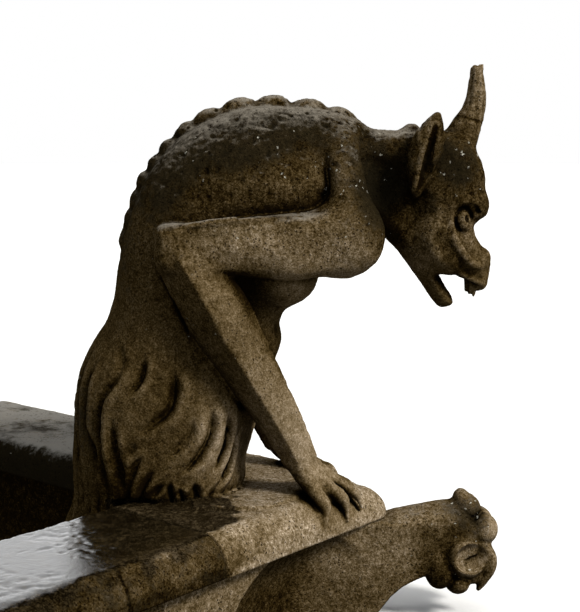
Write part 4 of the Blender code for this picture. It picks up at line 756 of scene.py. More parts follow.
def noise(p, size, seed):
    """Smooth noise of about -1..1 whose features are size across."""
    q = p / size + 1000.0
    i = np.floor(q).astype(np.int64)
    f = (q - i).astype(np.float32)
    u = f * f * (3.0 - 2.0 * f)
    out = 0
    for a in (0, 1):
        wa = u[:, 0] if a else 1 - u[:, 0]
        for b in (0, 1):
            wb = wa * (u[:, 1] if b else 1 - u[:, 1])
            for c in (0, 1):
                wc = wb * (u[:, 2] if c else 1 - u[:, 2])
                out = out + wc * hashed(i[:, 0] + a, i[:, 1] + b, i[:, 2] + c, seed)
    return out

def turned(p, n):
    """The points turned, so that each octave's lattice lies another way."""
    a = 0.7 * n + 0.3
    c, s = math.cos(a), math.sin(a)
    q = np.stack([p[:, 0] * c - p[:, 1] * s, p[:, 0] * s + p[:, 1] * c, p[:, 2]], 1)
    q = np.stack([q[:, 0], q[:, 1] * c - q[:, 2] * s, q[:, 1] * s + q[:, 2] * c], 1)
    return q

def layered(p, size, seed, n=3, gain=0.5):
    out, w, total = 0, 1.0, 0.0
    for k in range(n):
        out = out + w * noise(turned(p, k + seed), size / 2 ** k, seed + 17 * k)
        total += w
        w *= gain
    return out / total

def normals_of(v, q):
    n = np.zeros_like(v)
    a = np.cross(v[q[:, 2]] - v[q[:, 0]], v[q[:, 3]] - v[q[:, 1]])
    for k in range(4):
        for ax in range(3):
            n[:, ax] += np.bincount(q[:, k], a[:, ax], len(v))
    return n / (np.linalg.norm(n, axis=1)[:, None] + 1e-12)

def blobs(p, spots):
    """Soft patches over the side view: (x, z, radius along x, radius along z, weight)."""
    out = np.zeros(len(p), np.float32)
    for x, z, rx, rz, w in spots:
        out += w * np.exp(-((p[:, 0] - x) / rx) ** 2 - ((p[:, 2] - z) / rz) ** 2)
    return out

def piece(name, v, q, limit, node, rough=None):
    """Makes the mesh object in the row's frame, thins it to the limit and hands it to the frame."""
    v = v + [0.0, 0.0, BASE]
    lo, hi = [np.array(c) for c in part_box(node)]
    v = np.clip(v, lo, hi)
    me = bpy.data.meshes.new(name)
    me.vertices.add(len(v))
    me.vertices.foreach_set("co", v.astype(np.float32).ravel())
    me.loops.add(4 * len(q))
    me.loops.foreach_set("vertex_index", q.astype(np.int32).ravel())
    me.polygons.add(len(q))
    me.polygons.foreach_set("loop_start", (4 * np.arange(len(q))).astype(np.int32))
    me.update(calc_edges=True)
    ob = bpy.data.objects.new(name, me)
    bpy.context.scene.collection.objects.link(ob)
    if 2 * len(q) > limit:
        dec = ob.modifiers.new("thin", "DECIMATE")
        dec.ratio = limit / (2.0 * len(q))
        graph = bpy.context.evaluated_depsgraph_get()
        thin = bpy.data.meshes.new_from_object(ob.evaluated_get(graph))
        ob.modifiers.clear()
        ob.data = thin
        bpy.data.meshes.remove(me)
        me = thin
        me.name = name
    me.shade_smooth()
    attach(ob, "root")
    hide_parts(node)
    return ob

def points_of(ob):
    me = ob.data
    p = np.empty(3 * len(me.vertices), np.float32)
    n = np.empty(3 * len(me.vertices), np.float32)
    me.vertices.foreach_get("co", p)
    me.vertices.foreach_get("normal", n)
    p = p.reshape(-1, 3) - np.array([0, 0, BASE], np.float32)
    return p, n.reshape(-1, 3)

def note(ob, name, values):
    a = ob.data.attributes.new(name, "FLOAT", "POINT")
    a.data.foreach_set("value", np.clip(values, 0, 1).astype(np.float32))

def hollow(field, p, n, reach):
    """0 where the surface is open or flat, up to 1 deep in a crease, looking reach away."""
    q = (p + n * reach).astype(np.float32)
    return np.clip(1.0 - field(q[:, 0], q[:, 1], q[:, 2]) / reach, 0, 1)

def edge_of(field, p, n, reach):
    q = (p - n * reach).astype(np.float32)
    return np.clip(1.0 + field(q[:, 0], q[:, 1], q[:, 2]) / reach, 0, 1)

# ---------------------------------------------------------------- the figure and its block
m = setup()
mb = setup_base()
fig = lambda x, y, z: whole(x, y, z, m)
v, q = skin(fig, (-.70, -.52, -.14), (.60, .52, 1.14), FINE)
n = normals_of(v, q)
p = v.astype(np.float32)
back = smoothstep(.68, .90, p[:, 2]) * smoothstep(.45, .25, p[:, 0])
wear = 0.0017 * layered(p, .085, 3) + 0.0022 * layered(p, .034, 5) * (0.75 + 0.5 * back) + 0.0018 * layered(p, .0125, 9) * (0.7 + 0.6 * back)
pit = np.maximum(noise(turned(p, 2), .013, 31) - 0.42, 0) * (0.6 + back) + np.maximum(noise(turned(p, 4), .024, 33) - 0.55, 0)
wear -= 0.0050 * pit
hidden = (p[:, 2] < -.097) | (((p[:, 0] - p[:, 1]) / R2 < JOINT + .003) | ((p[:, 0] + p[:, 1]) / R2 < JOINT + .003)) & (p[:, 2] < .004)
wear = np.where(hidden, -0.0002, wear)
v = v + n * wear[:, None]
garg = piece("gargoyle_stone", v, q, LIMIT, "gargoyle")
p, n = points_of(garg)
c_s, c_m, c_l = hollow(fig, p, n, .010), hollow(fig, p, n, .030), hollow(fig, p, n, .085)
groove = np.zeros(len(p))
low_ = (p[:, 2] < .46) & (p[:, 2] > -.05)
groove[low_] = fur(p[low_, 0], np.abs(p[low_, 1]), p[low_, 2], m)
on_body = smoothstep(.47, .40, p[:, 2])
# edge: convex edges, lightened in the materials as a painted highlight
note(garg, "edge", edge_of(fig, p, n, .012))
LUM = [  # how light the stone is over the side view: x, z, value; with painted shade under the arm at (-.12, .555) and on the neck behind the ear, and painted light on the muzzle's side in front of the cheek's edge
    (.488, 1.06, .80), (.478, .98, .68), (.450, .92, .52), (.43, .86, .30), (.50, .83, .44), (.47, .78, .36), (.40, .80, .28), (.34, .90, .46), (.35, .83, .40),
    (.46, .70, .62), (.51, .62, .48), (.50, .60, .50), (.462, .625, .84), (.452, .66, .82), (.418, .615, .56), (.37, .66, .64), (.33, .62, .62), (.50, .55, .58), (.40, .50, .46), (.44, .56, .48), (.30, .70, .36), (.37, .73, .58),
    (.25, .90, .52), (.22, .80, .06), (.27, .76, .08), (.21, .71, .12), (.25, .68, .24), (.16, .94, .44),
    (-.36, .84, .52), (-.20, .93, .42), (-.05, .96, .50), (.08, .94, .52), (-.30, .78, .34), (-.15, .86, .22), (-.14, .785, .44), (.00, .785, .50), (-.02, .87, .34), (-.40, .68, .50), (-.42, .58, .42), (-.28, .735, .38),
    (.12, .90, .54), (.12, .82, .66), (.07, .77, .54), (.16, .70, .76), (.19, .64, .80), (.12, .62, .84), (.02, .69, .68), (-.05, .62, .90), (-.12, .64, .86), (-.20, .66, .78), (-.27, .68, .66), (-.31, .66, .58), (-.33, .61, .50),
    (-.04, .53, .74), (-.12, .555, .0), (.01, .50, .70), (-.02, .44, .42), (-.06, .34, .40),
    (-.36, .57, .40), (-.39, .47, .42), (-.31, .50, .38), (-.26, .42, .44), (-.32, .37, .40), (-.45, .42, .40),
    (-.51, .34, .44), (-.55, .24, .42), (-.55, .10, .36), (-.56, .00, .42), (-.50, .00, .26), (-.46, .28, .44), (-.41, .24, .42), (-.36, .18, .38), (-.28, .30, .38), (-.20, .30, .56), (-.20, .20, .84), (-.16, .14, .92), (-.28, .13, .54), (-.38, .10, .40), (-.43, .04, .02), (-.30, .04, .56), (-.20, .05, .82), (-.35, .00, .24)]
FOREARM = [(-.280, .625), (-.205, .500), (-.158, .410), (-.086, .285), (-.018, .160), (.030, .070), (.070, .010), (.110, -.03)]

def along_line(p, pts, r):
    """1 on a line drawn over the side view, falling to 0 at r from it."""
    best = np.full(len(p), 9.0)
    for (x0, z0), (x1, z1) in zip(pts[:-1], pts[1:]):
        t = np.clip(((p[:, 0] - x0) * (x1 - x0) + (p[:, 2] - z0) * (z1 - z0)) / ((x1 - x0) ** 2 + (z1 - z0) ** 2), 0, 1)
        best = np.minimum(best, np.hypot(p[:, 0] - x0 - t * (x1 - x0), p[:, 2] - z0 - t * (z1 - z0)))
    return smoothstep(r, .7 * r, best)

def lightness(p):
    num = np.zeros(len(p)); den = np.zeros(len(p))
    for x, z, v in LUM:
        r2 = ((p[:, 0] - x) ** 2 + (p[:, 2] - z) ** 2) / .052 ** 2
        w = np.exp(-r2) + 1e-5 / (r2 + 1.0)
        num += w * v
        den += w
    return num / den

side_, along_ = (p[:, 0] - p[:, 1]) / R2, (p[:, 0] + p[:, 1]) / R2
in_block = smoothstep(-.235, -.215, np.maximum(side_, along_))
limb = along_line(p, FOREARM, .075) * smoothstep(.10, .125, np.abs(p[:, 1])) * smoothstep(.66, .60, p[:, 2])
# the forearm's tone: lighter lower down and darker near the stone; painted light on faces turned toward +x and painted
# shade on faces turned toward -x
limb_lum = .50 + .40 * smoothstep(.45, .10, p[:, 2]) - .22 * smoothstep(.10, .03, p[:, 2]) + .18 * smoothstep(-.25, .45, n[:, 0]) - .08 * smoothstep(.0, -.6, n[:, 0])
# the block: pale on top and round the lower edge, damp and stained toward the near joint, painted shadow under the
# fur's hem, a painted patch of light on the top between the fur and the hand, and darker toward the far side
ragged = .10 * layered(p, .090, 91, 3, .65) + .05 * noise(turned(p, 6), .020, 93)
low_face = smoothstep(-.020, -.085, p[:, 2] + .25 * ragged)
spot = np.exp(-((along_ + .385) / .040) ** 2 - ((side_ - .160) / .028) ** 2)
stain = (1 - .75 * spot) * smoothstep(-.14 - .17 * low_face, -.36 - .12 * low_face, along_ + ragged)
hem_shadow = smoothstep(.17, .07, side_) * smoothstep(-.08, -.24, along_)
slab = 1.28 - .10 * smoothstep(-.02, -.08, p[:, 2]) + .04 * smoothstep(.08, .20, p[:, 0]) + .16 * np.exp(-((p[:, 0] + .04) / .11) ** 2) * smoothstep(-.02, -.004, p[:, 2]) - (.56 + .16 * low_face) * stain - .40 * hem_shadow * (1 - stain) - .30 * smoothstep(.05, .25, p[:, 1])
flank = smoothstep(.016, .009, p[:, 2]) * (1 - limb) * in_block
on_body = on_body * (1 - limb) * (1 - flank)
# painted shade: darker in hollows (shade), on undersides and deep in hollows (under), and in creases, more so on the
# head, and in the fur's furrows (crease)
note(garg, "shade", np.clip(.25 * c_m + .75 * c_l, 0, 1) * (1 - .95 * flank))
note(garg, "under", (smoothstep(.05, -.75, n[:, 2]) * (.55 + .45 * smoothstep(.1, .6, c_l)) + .5 * smoothstep(.35, .9, c_l)) * (1 - .85 * flank) * (1 - .6 * np.exp(-((p[:, 0] + .02) / .07) ** 2 - ((p[:, 2] - .53) / .05) ** 2)))
headed = smoothstep(.36, .40, p[:, 0]) * smoothstep(.78, .76, p[:, 2]) * smoothstep(.46, .48, p[:, 2])
note(garg, "crease", np.clip((.85 * c_s + .25 * c_m + .15 * c_l - .06) * (1 + .55 * headed) + .34 * smoothstep(.002, .014, groove) * on_body, 0, 1))
# the locks standing proud of the fur are painted lighter, a painted highlight
base_lum = lightness(p) + .16 * smoothstep(.0, -.005, groove) * on_body
CREST = [(.408, .692), (.415, .664), (.427, .638), (.444, .612), (.464, .593), (.488, .584)]
EAR_RIM = [(.307, .780), (.312, .815), (.321, .865), (.333, .915), (.347, .950)]
EAR_SLIT = [(.318, .790), (.328, .826), (.338, .862), (.347, .900), (.357, .940)]
on_head = smoothstep(.28, .30, p[:, 0]) * smoothstep(.46, .48, p[:, 2])
# painted highlight along the cheek's edge, and painted shade in a band on the cheek beside it
base_lum = base_lum + on_head * (.07 * along_line(p, CREST, .009) - .22 * along_line(p, [(x - .024, z - .006) for x, z in CREST[1:]], .030) * (1 - along_line(p, CREST, .012)))
# painted highlight on the ear's rim and painted shade in its slit
base_lum = base_lum + on_head * smoothstep(.05, .07, np.abs(p[:, 1])) * (.26 * along_line(p, EAR_RIM, .007) - .50 * along_line(p, EAR_SLIT, .0090) * (1 - along_line(p, EAR_RIM, .007)))
turn = np.arctan2(np.abs(p[:, 1]), p[:, 0] - .480)
on_horn = smoothstep(.915, .935, p[:, 2])
# on the horn: painted shade along the growth ring's groove, and darker streaks round it
base_lum = base_lum - on_horn * (.50 * np.exp(-((p[:, 2] - .958 + .25 * (p[:, 0] - .48)) / .0028) ** 2) + .13 * np.sin(turn * 9.0 + p[:, 2] * 14.0))
base_lum = base_lum * (1 - limb) + limb_lum * limb
note(garg, "lum", base_lum * (1 - flank) + slab * flank)
note(garg, "block", np.maximum(np.maximum(flank, smoothstep(.60, .46, p[:, 2])), np.maximum(.9 * smoothstep(.335, .375, p[:, 0]), .5 * smoothstep(.02, .08, p[:, 0]) * smoothstep(.80, .74, p[:, 2]))))
note(garg, "rugged", smoothstep(.55, .66, p[:, 2]) * (1 - .4 * smoothstep(-.20, -.34, p[:, 0])) + .9 * flank)
note(garg, "wet", smoothstep(-.22, -.42, along_ + .8 * ragged) * flank * smoothstep(.16, .11, side_) * .95)
PATINA_AT = [(-.20, .90, .22, .080, .8), (-.34, .80, .10, .12, .7), (-.44, .62, .07, .14, .5), (-.02, .95, .13, .06, .7), (.22, .84, .10, .12, .8), (.42, .84, .075, .075, .9), (.20, .74, .08, .10, .5), (-.55, .2, .06, .22, .5)]
note(garg, "patina", blobs(p, PATINA_AT))
LICHEN = [(.43, .85, .045, .065, 2.0), (.02, .86, .12, .08, .6), (-.22, .86, .13, .06, .40), (.09, .79, .05, .08, 1.0), (.14, .70, .06, .07, .5), (-.16, .68, .14, .03, .30), (.22, .84, .07, .06, .5)]
note(garg, "lichen", blobs(p, LICHEN))

# ---------------------------------------------------------------- the parapet's stones
def worn(name, field, lo, hi, node, amount, seed, step=None, keep=()):
    v, q = skin(field, lo, hi, step or STONE_GRID)
    n = normals_of(v, q)
    p = v.astype(np.float32)
    w = amount * (0.0018 * layered(p, .11, seed) + 0.0012 * layered(p, .034, seed + 2) + 0.0007 * layered(p, .013, seed + 4))
    w -= amount * 0.0030 * np.maximum(noise(turned(p, 3), .016, seed + 8) - .40, 0)
    for axis, off in keep:
        s = p @ np.array(axis, np.float32) - off
        w = np.where(np.abs(s) < .004, -0.0002, w)
    v = v + n * w[:, None]
    ob = piece(name, v, q, 120000, node)
    p, n = points_of(ob)
    # painted shade in hollows and on undersides (crease, shade, under), deeper in the leaf's folds past x .40, and a
    # painted highlight on edges (edge)
    note(ob, "crease", (.5 * hollow(field, p, n, .012) + .5 * hollow(field, p, n, .04)) * (1 + .8 * smoothstep(.39, .42, p[:, 0])))
    note(ob, "shade", hollow(field, p, n, .08))
    note(ob, "edge", edge_of(field, p, n, .012))
    note(ob, "under", smoothstep(.0, -.8, n[:, 2]) + .5 * hollow(field, p, n, .08))
    return ob, p, n

r = 1 / R2
near_end, far_end = ((-r, -r, 0), NEAR_L), ((-r, r, 0), FAR_L)
near_joint, far_joint = ((r, r, 0), JOINT), ((r, -r, 0), JOINT)
cop_r, p, n = worn("coping_right_stone", lambda x, y, z: run(x, y, z, True), (-.98, -.98, -.13), (-.08, -.08, .04), "coping_right", 1.5, 41, keep=(near_end, near_joint, ((0, 0, -1), COP_H)))
along = (p[:, 0] + p[:, 1]) / R2
side = (p[:, 0] - p[:, 1]) / R2
note(cop_r, "wet", .95 * smoothstep(.165, .120, side) * smoothstep(-.02, -.004, p[:, 2]) + .25 * smoothstep(-.06, -.02, p[:, 2]))
ochre = np.exp(-((along + .60) / .10) ** 2 - ((side - .165) / .035) ** 2)
crack = np.exp(-((along + .775 + .006 * noise(turned(p, 7), .03, 103)) / .0030) ** 2) * smoothstep(.12, .15, side)
note(cop_r, "lum", .30 - .55 * crack + .38 * layered(p, .060, 99, 4, .75) + .12 * smoothstep(.10, .15, side) + .36 * ochre - (.30 + .25 * noise(turned(p, 5), .05, 101)) * smoothstep(-.050, -.085, p[:, 2]))
note(cop_r, "block", np.ones(len(p)))
note(cop_r, "rugged", np.ones(len(p)))
note(cop_r, "patina", .45 - .3 * ochre + .25 * smoothstep(.12, .0, side))
cop_l, p, n = worn("coping_left_stone", lambda x, y, z: run(x, y, z, False), (-1.20, .08, -.13), (-.08, 1.20, .04), "coping_left", 1.3, 51, keep=(far_end, far_joint, ((0, 0, -1), COP_H)))
# painted shade: the far coping's inner roll and the face under it are painted dark, with more patina
far_in = smoothstep(-.165, -.215, (p[:, 0] + p[:, 1]) / R2) + smoothstep(-.03, -.07, p[:, 2]) * (p[:, 0] + p[:, 1] < 0)
note(cop_l, "wet", .17 * (1 - np.clip(far_in, 0, 1)))
blotch = layered(p, .085, 97, 4, .72)
note(cop_l, "lum", (.98 - .55 * smoothstep(-.05, .60, blotch)) * (1 - np.clip(far_in, 0, 1)))
note(cop_l, "block", .0 + .62 * smoothstep(-.05, .60, blotch))
note(cop_l, "rugged", np.ones(len(p)))
note(cop_l, "patina", .58 + .5 * np.clip(far_in, 0, 1))
par_r, p, n = worn("parapet_right_stone", lambda x, y, z: wall(x, y, z, True), (-.95, -.95, -.42), (-.15, -.15, -.07), "parapet_right", .8, 61, .008, keep=(near_end, ((0, 0, -1), BASE), ((0, 0, 1), -COP_H)))
par_l, p, n = worn("parapet_left_stone", lambda x, y, z: wall(x, y, z, False), (-1.20, .15, -.42), (-.15, 1.20, -.07), "parapet_left", .8, 71, .008, keep=(far_end, ((0, 0, -1), BASE), ((0, 0, 1), -COP_H)))
# painted shade: the far wall's inner face is painted near black
note(par_l, "lum", .02 + .50 * smoothstep(-.16, -.08, (p[:, 0] + p[:, 1]) / R2))
crk, p, n = worn("crocket_stone", lambda x, y, z: crocket(x, y, z, mb), (-.66, -.60, -.42), (.64, .60, .02), "crocket_corbel", .8, 81, .0038, keep=(((0, 0, -1), BASE),))
note(crk, "lichen", blobs(p, [(.40, -.08, .14, .035, .8), (.50, -.16, .06, .10, .9)]))
# painted shade in the scoop beside the bracket and in the pocket under the top lobe
scooped = smoothstep(.145, .10, np.maximum((p[:, 0] - p[:, 1]), (p[:, 0] + p[:, 1])) / R2) * smoothstep(.40, .30, p[:, 0])
cup = smoothstep(1.12, .90, np.sqrt(((p[:, 0] - .490) / .059) ** 2 + ((p[:, 2] + .203) / .048) ** 2 + ((np.abs(p[:, 1]) - .113) / .053) ** 2))
pocket = smoothstep(1.20, .90, np.sqrt(((p[:, 0] - .450) / .046) ** 2 + ((p[:, 2] + .128) / .033) ** 2 + ((np.abs(p[:, 1]) - .103) / .042) ** 2))
stem = smoothstep(-.105, -.135, p[:, 2]) * smoothstep(.31, .36, p[:, 0]) * smoothstep(.455, .41, p[:, 0])
crk_lum = .78 - .34 * scooped * smoothstep(.06, .10, np.abs(p[:, 1])) - .02 * smoothstep(.40, .44, p[:, 0]) - .18 * smoothstep(-.20, -.30, p[:, 2])
note(crk, "lum", crk_lum + .50 * cup + .07 * smoothstep(.42, .46, p[:, 0]) - .32 * pocket * (1 - cup) - .34 * stem - .04 * smoothstep(-.205, -.235, p[:, 2]) * smoothstep(.36, .40, p[:, 0]) * (1 - cup) + .20 * smoothstep(.50, .53, p[:, 0]) * smoothstep(-.19, -.16, p[:, 2]))
note(crk, "block", np.full(len(p), .8))
note(crk, "rugged", np.ones(len(p)))
note(crk, "wet", np.zeros(len(p)))
note(crk, "patina", blobs(p, [(.40, -.07, .12, .03, .35), (.50, -.10, .05, .05, .5), (.46, -.12, .05, .05, .3)]))
note(par_r, "lum", np.full(len(par_r.data.vertices), .54))
for ob in (par_r, par_l):
    note(ob, "rugged", np.full(len(ob.data.vertices), .6))

# ================================================================ materials
class Nodes:
    """Short hands for building a node tree."""
    def __init__(s, name):
        s.mat = bpy.data.materials.new(name)
        s.mat.use_nodes = True
        s.t = s.mat.node_tree
        s.p = s.t.nodes["Principled BSDF"]
        s.x = 0
        c = s.add("ShaderNodeTexCoord")
        s.at = c.outputs["Object"]
        s.geo = s.add("ShaderNodeNewGeometry")
    def add(s, kind):
        n = s.t.nodes.new(kind)
        s.x += 1
        n.location = (-2400 + 60 * (s.x % 36), 900 - 260 * (s.x // 36))
        return n
    def plug(s, socket, value):
        if hasattr(value, "links"):
            s.t.links.new(value, socket)
        else:
            socket.default_value = value
    def attr(s, name):
        n = s.add("ShaderNodeAttribute")
        n.attribute_type = "GEOMETRY"
        n.attribute_name = name
        return n.outputs["Fac"]
    def math(s, op, a, b=None, c=None, clamp=False):
        n = s.add("ShaderNodeMath")
        n.operation = op
        n.use_clamp = clamp
        s.plug(n.inputs[0], a)
        if b is not None:
            s.plug(n.inputs[1], b)
        if c is not None:
            s.plug(n.inputs[2], c)
        return n.outputs[0]
    def noise(s, scale, detail=4, rough=0.6, distort=0.0, at=None):
        n = s.add("ShaderNodeTexNoise")
        s.plug(n.inputs["Vector"], at or s.at)
        n.inputs["Scale"].default_value = scale
        n.inputs["Detail"].default_value = detail
        n.inputs["Roughness"].default_value = rough
        n.inputs["Distortion"].default_value = distort
        return n.outputs[0]
    def cells(s, scale, feature="F1", at=None, random=1.0):
        n = s.add("ShaderNodeTexVoronoi")
        n.feature = feature
        s.plug(n.inputs["Vector"], at or s.at)
        n.inputs["Scale"].default_value = scale
        n.inputs["Randomness"].default_value = random
        return n
    def ramp(s, value, a, b, lo=0.0, hi=1.0):
        n = s.add("ShaderNodeMapRange")
        n.interpolation_type = "SMOOTHSTEP"
        s.plug(n.inputs["Value"], value)
        for k, w in zip(("From Min", "From Max", "To Min", "To Max"), (a, b, lo, hi)):
            s.plug(n.inputs[k], w)
        return n.outputs[0]
    def mix(s, fac, a, b, kind="MIX"):
        n = s.add("ShaderNodeMix")
        n.data_type = "RGBA"
        n.blend_type = kind
        s.plug(n.inputs[0], fac)
        for k, w in ((6, a), (7, b)):
            s.plug(n.inputs[k], (*w, 1.0) if isinstance(w, tuple) else w)
        return n.outputs[2]
    def bump(s, height, strength, distance, under=None):
        n = s.add("ShaderNodeBump")
        s.plug(n.inputs["Strength"], strength)
        n.inputs["Distance"].default_value = distance
        s.plug(n.inputs["Height"], height)
        if under is not None:
            s.t.links.new(under, n.inputs["Normal"])
        return n.outputs[0]

STOPS = [(0.0, (.0060, .0034, .0010)), (.18, (.0220, .0130, .0031)), (.36, (.0600, .0390, .0135)), (.54, (.1250, .0870, .0410)), (.72, (.2300, .1720, .1020)), (.90, (.3800, .3000, .2050)), (1.0, (.6200, .5100, .3800))]

def limestone(name, seed=0.0, lichen=True, wet=False, relief=1.0, bloom_and_sky_light=(.240, .215, .175)):
    """Weathered limestone: mottled stone, painted shade in the hollows and on undersides, painted highlights on edges,
    patina, a grey bloom and painted sky light on what faces up, and specks of lichen.
    """
    s = Nodes(name)
    up = s.add("ShaderNodeSeparateXYZ")
    s.plug(up.inputs[0], s.geo.outputs["Normal"])
    up = up.outputs["Z"]
    crease, shade, edge, under = s.attr("crease"), s.attr("shade"), s.attr("edge"), s.attr("under")
    lum, grime, spots = s.attr("lum"), s.attr("patina"), s.attr("lichen")
    shift = s.add("ShaderNodeVectorMath")
    shift.operation = "ADD"
    s.plug(shift.inputs[0], s.at)
    shift.inputs[1].default_value = (seed, seed * .7, seed * 1.3)
    s.at = shift.outputs[0]
    mid = lambda v: s.math("SUBTRACT", v, .5)
    big = mid(s.noise(4.0, 4, 0.60, 0.6))
    med = mid(s.noise(19.0, 5, 0.65, 0.4))
    fine = mid(s.noise(62.0, 9, 0.76, 0.2))
    grain = mid(s.noise(230.0, 4, 0.70))
    def total(*terms):
        out = None
        for v, w in terms:
            t = s.math("MULTIPLY", v, w) if w != 1 else v
            out = t if out is None else s.math("ADD", out, t)
        return out
    # stone body
    speck = mid(s.noise(125.0, 6, 0.80, 0.3))
    # the tone takes painted shade from crease and shade, and a painted highlight on edges from edge
    tone = total((lum, 1), (big, .22), (med, .45), (s.math("MULTIPLY", fine, s.ramp(s.attr("rugged"), 0, 1, .90, 1.45)), 1), (s.math("MULTIPLY", speck, s.ramp(s.attr("rugged"), 0, 1, .75, 1.75)), 1), (grain, 1.40), (crease, -.66), (shade, -.16), (edge, .18))
    tone = s.math("MULTIPLY", tone, .72)
    body = s.add("ShaderNodeValToRGB")
    r = body.color_ramp
    r.interpolation = "LINEAR"
    while len(r.elements) < len(STOPS):
        r.elements.new(.5)
    for e, (at, c) in zip(r.elements, STOPS):
        e.position = at
        e.color = (*c, 1)
    s.plug(body.inputs[0], tone)
    col = body.outputs[0]
    # black-green patina in ragged patches
    pat = total((grime, 1), (big, .6), (med, 1.1), (fine, 1.3), (speck, .6), (up, .12))
    col = s.mix(s.ramp(pat, .32, .80, 0, .80), col, (.0125, .0100, .0052))
    # a grey bloom and painted sky light on what faces up, rubbed through to the dirt
    sky = total((up, 1), (fine, .95), (speck, .75), (med, .7), (lum, .30), (s.attr("block"), -.60), (shade, -.25))
    sky = s.math("MULTIPLY", s.ramp(sky, .55, 1.25, 0, .80), s.ramp(crease, .45, .10))
    if wet:
        sky = s.math("MULTIPLY", sky, s.ramp(s.attr("wet"), .60, .10))
    col = s.mix(sky, col, bloom_and_sky_light)
    # painted shade on undersides and deep in hollows
    underside_shade = total((under, 1), (med, .5), (fine, .4))
    col = s.mix(s.ramp(underside_shade, .15, .95, 0, .62), col, (.0110, .0066, .0025))
    # painted shade: black in the deepest folds
    col = s.mix(s.ramp(total((crease, 1), (fine, .4)), .45, .80, 0, .92), col, (.0030, .0022, .0013))
    # pits
    pits = s.cells(105.0)
    hole = s.ramp(total((pits.outputs["Distance"], 1), (grain, .5)), .30, .12)
    hole = s.math("MULTIPLY", hole, s.ramp(total((s.noise(24.0, 3, .6), 1), (s.attr("rugged"), .07)), .50, .60))
    col = s.mix(s.math("MULTIPLY", hole, .80), col, (.0060, .0040, .0020))
    if lichen:
        warp = s.add("ShaderNodeVectorMath")
        warp.operation = "MULTIPLY_ADD"
        w = s.add("ShaderNodeTexNoise")
        s.plug(w.inputs["Vector"], s.at)
        w.inputs["Scale"].default_value = 240.0
        w.inputs["Detail"].default_value = 2
        s.plug(warp.inputs[0], w.outputs["Color"])
        warp.inputs[1].default_value = (.011, .011, .011)
        s.plug(warp.inputs[2], s.at)
        blot = s.cells(125.0, at=warp.outputs[0])
        pick = s.add("ShaderNodeSeparateColor")
        s.plug(pick.inputs[0], blot.outputs["Color"])
        chance = total((pick.outputs[0], 1), (spots, .060), (mid(s.noise(30.0, 2, .5)), .05))
        size = s.math("MULTIPLY", s.math("POWER", pick.outputs[2], 2.0), .36)
        here = s.math("MULTIPLY", s.ramp(chance, .998, 1.008), s.ramp(s.math("SUBTRACT", blot.outputs["Distance"], size), .22, .06))
        col = s.mix(s.math("MULTIPLY", here, s.ramp(pick.outputs[1], 0, 1, .35, .95)), col, (.50, .48, .40))
    # relief, drowned where water stands
    h = total((fine, .75), (speck, .50), (grain, .38), (hole, -.40))
    rough = s.ramp(med, -.2, .2, .86, .98)
    s.p.inputs["IOR"].default_value = 1.45
    s.p.inputs["Specular IOR Level"].default_value = 0.0
    if wet:
        w = s.attr("wet")
        pool = total((w, 1), (mid(s.noise(6.5, 4, .55, .9)), 1.1), (med, .5), (fine, .25))
        film = s.math("MULTIPLY", s.math("MULTIPLY", s.ramp(pool, .46, .66), s.ramp(up, .70, .95)), s.math("MULTIPLY", s.ramp(w, .05, .30), s.ramp(edge, .55, .30)))
        damp = s.math("MULTIPLY", s.ramp(total((pool, 1), (w, .1)), .22, .46, 0, .90), s.ramp(w, .02, .25))
        if wet == "film":
            film = s.math("MULTIPLY", film, s.ramp(total((speck, 1), (fine, .5)), -.27, -.15))
            s.p.inputs["Coat IOR"].default_value = 1.5
            s.p.inputs["Coat Roughness"].default_value = .11
            s.t.links.new(film, s.p.inputs["Coat Weight"])
            s.t.links.new(s.bump(total((fine, .6), (med, .5), (speck, .28)), .21, .006), s.p.inputs["Coat Normal"])
        col = s.mix(damp, col, s.mix(s.ramp(total((fine, 1), (speck, 1.3), (med, .6), (grain, .8)), -.06, .34), (.0030, .0020, .0008), (.0440, .0310, .0140)))
        dry = s.math("MULTIPLY_ADD", film, -.80, 1.0)
        n1 = s.bump(med, s.math("MULTIPLY", dry, .45), .008)
        n2 = s.bump(h, s.math("MULTIPLY", dry, s.ramp(s.attr("rugged"), 0, 1, .70 * relief, 1.0 * relief)), .0058, n1)
    else:
        n1 = s.bump(med, .45, .008)
        n2 = s.bump(h, .95 * relief, .0058, n1)
    s.t.links.new(n2, s.p.inputs["Normal"])
    s.t.links.new(col, s.p.inputs["Base Color"])
    s.t.links.new(rough, s.p.inputs["Roughness"])
    return s.mat

carved = limestone("weathered_carving", wet="damp")
plain = limestone("weathered_coping", 3.1, wet="film", relief=1.2)
damp = limestone("damp_coping", 7.7, wet="film", relief=1.1, bloom_and_sky_light=(.27, .26, .235))
bracket = limestone("bracket_stone", 5.3)
walling = limestone("parapet_walling", 9.2, lichen=False)
# the far wall's material, its inner face painted in shade
inner = limestone("walling_painted_shade", 11.0, lichen=False, bloom_and_sky_light=(.05, .04, .03))
for ob, mat in ((garg, carved), (cop_r, plain), (cop_l, damp), (crk, bracket), (par_r, walling), (par_l, inner)):
    ob.data.materials.clear()
    ob.data.materials.append(mat)

# ================================================================ floor, light, camera
bm = bmesh.new()
bmesh.ops.create_circle(bm, cap_ends=True, segments=96, radius=40.0)
me = bpy.data.meshes.new("floor")
bm.to_mesh(me)
bm.free()
floor = bpy.data.objects.new("floor", me)
floor.location = (0, 0, -0.0005)
bpy.context.scene.collection.objects.link(floor)
fm = bpy.data.materials.new("pale_floor")
fm.use_nodes = True
fm.node_tree.nodes["Principled BSDF"].inputs["Base Color"].default_value = (.88, .88, .87, 1)
fm.node_tree.nodes["Principled BSDF"].inputs["Roughness"].default_value = .9
me.materials.append(fm)
floor.visible_diffuse = False   # the figure sits high on its parapet, with no pale floor close under it

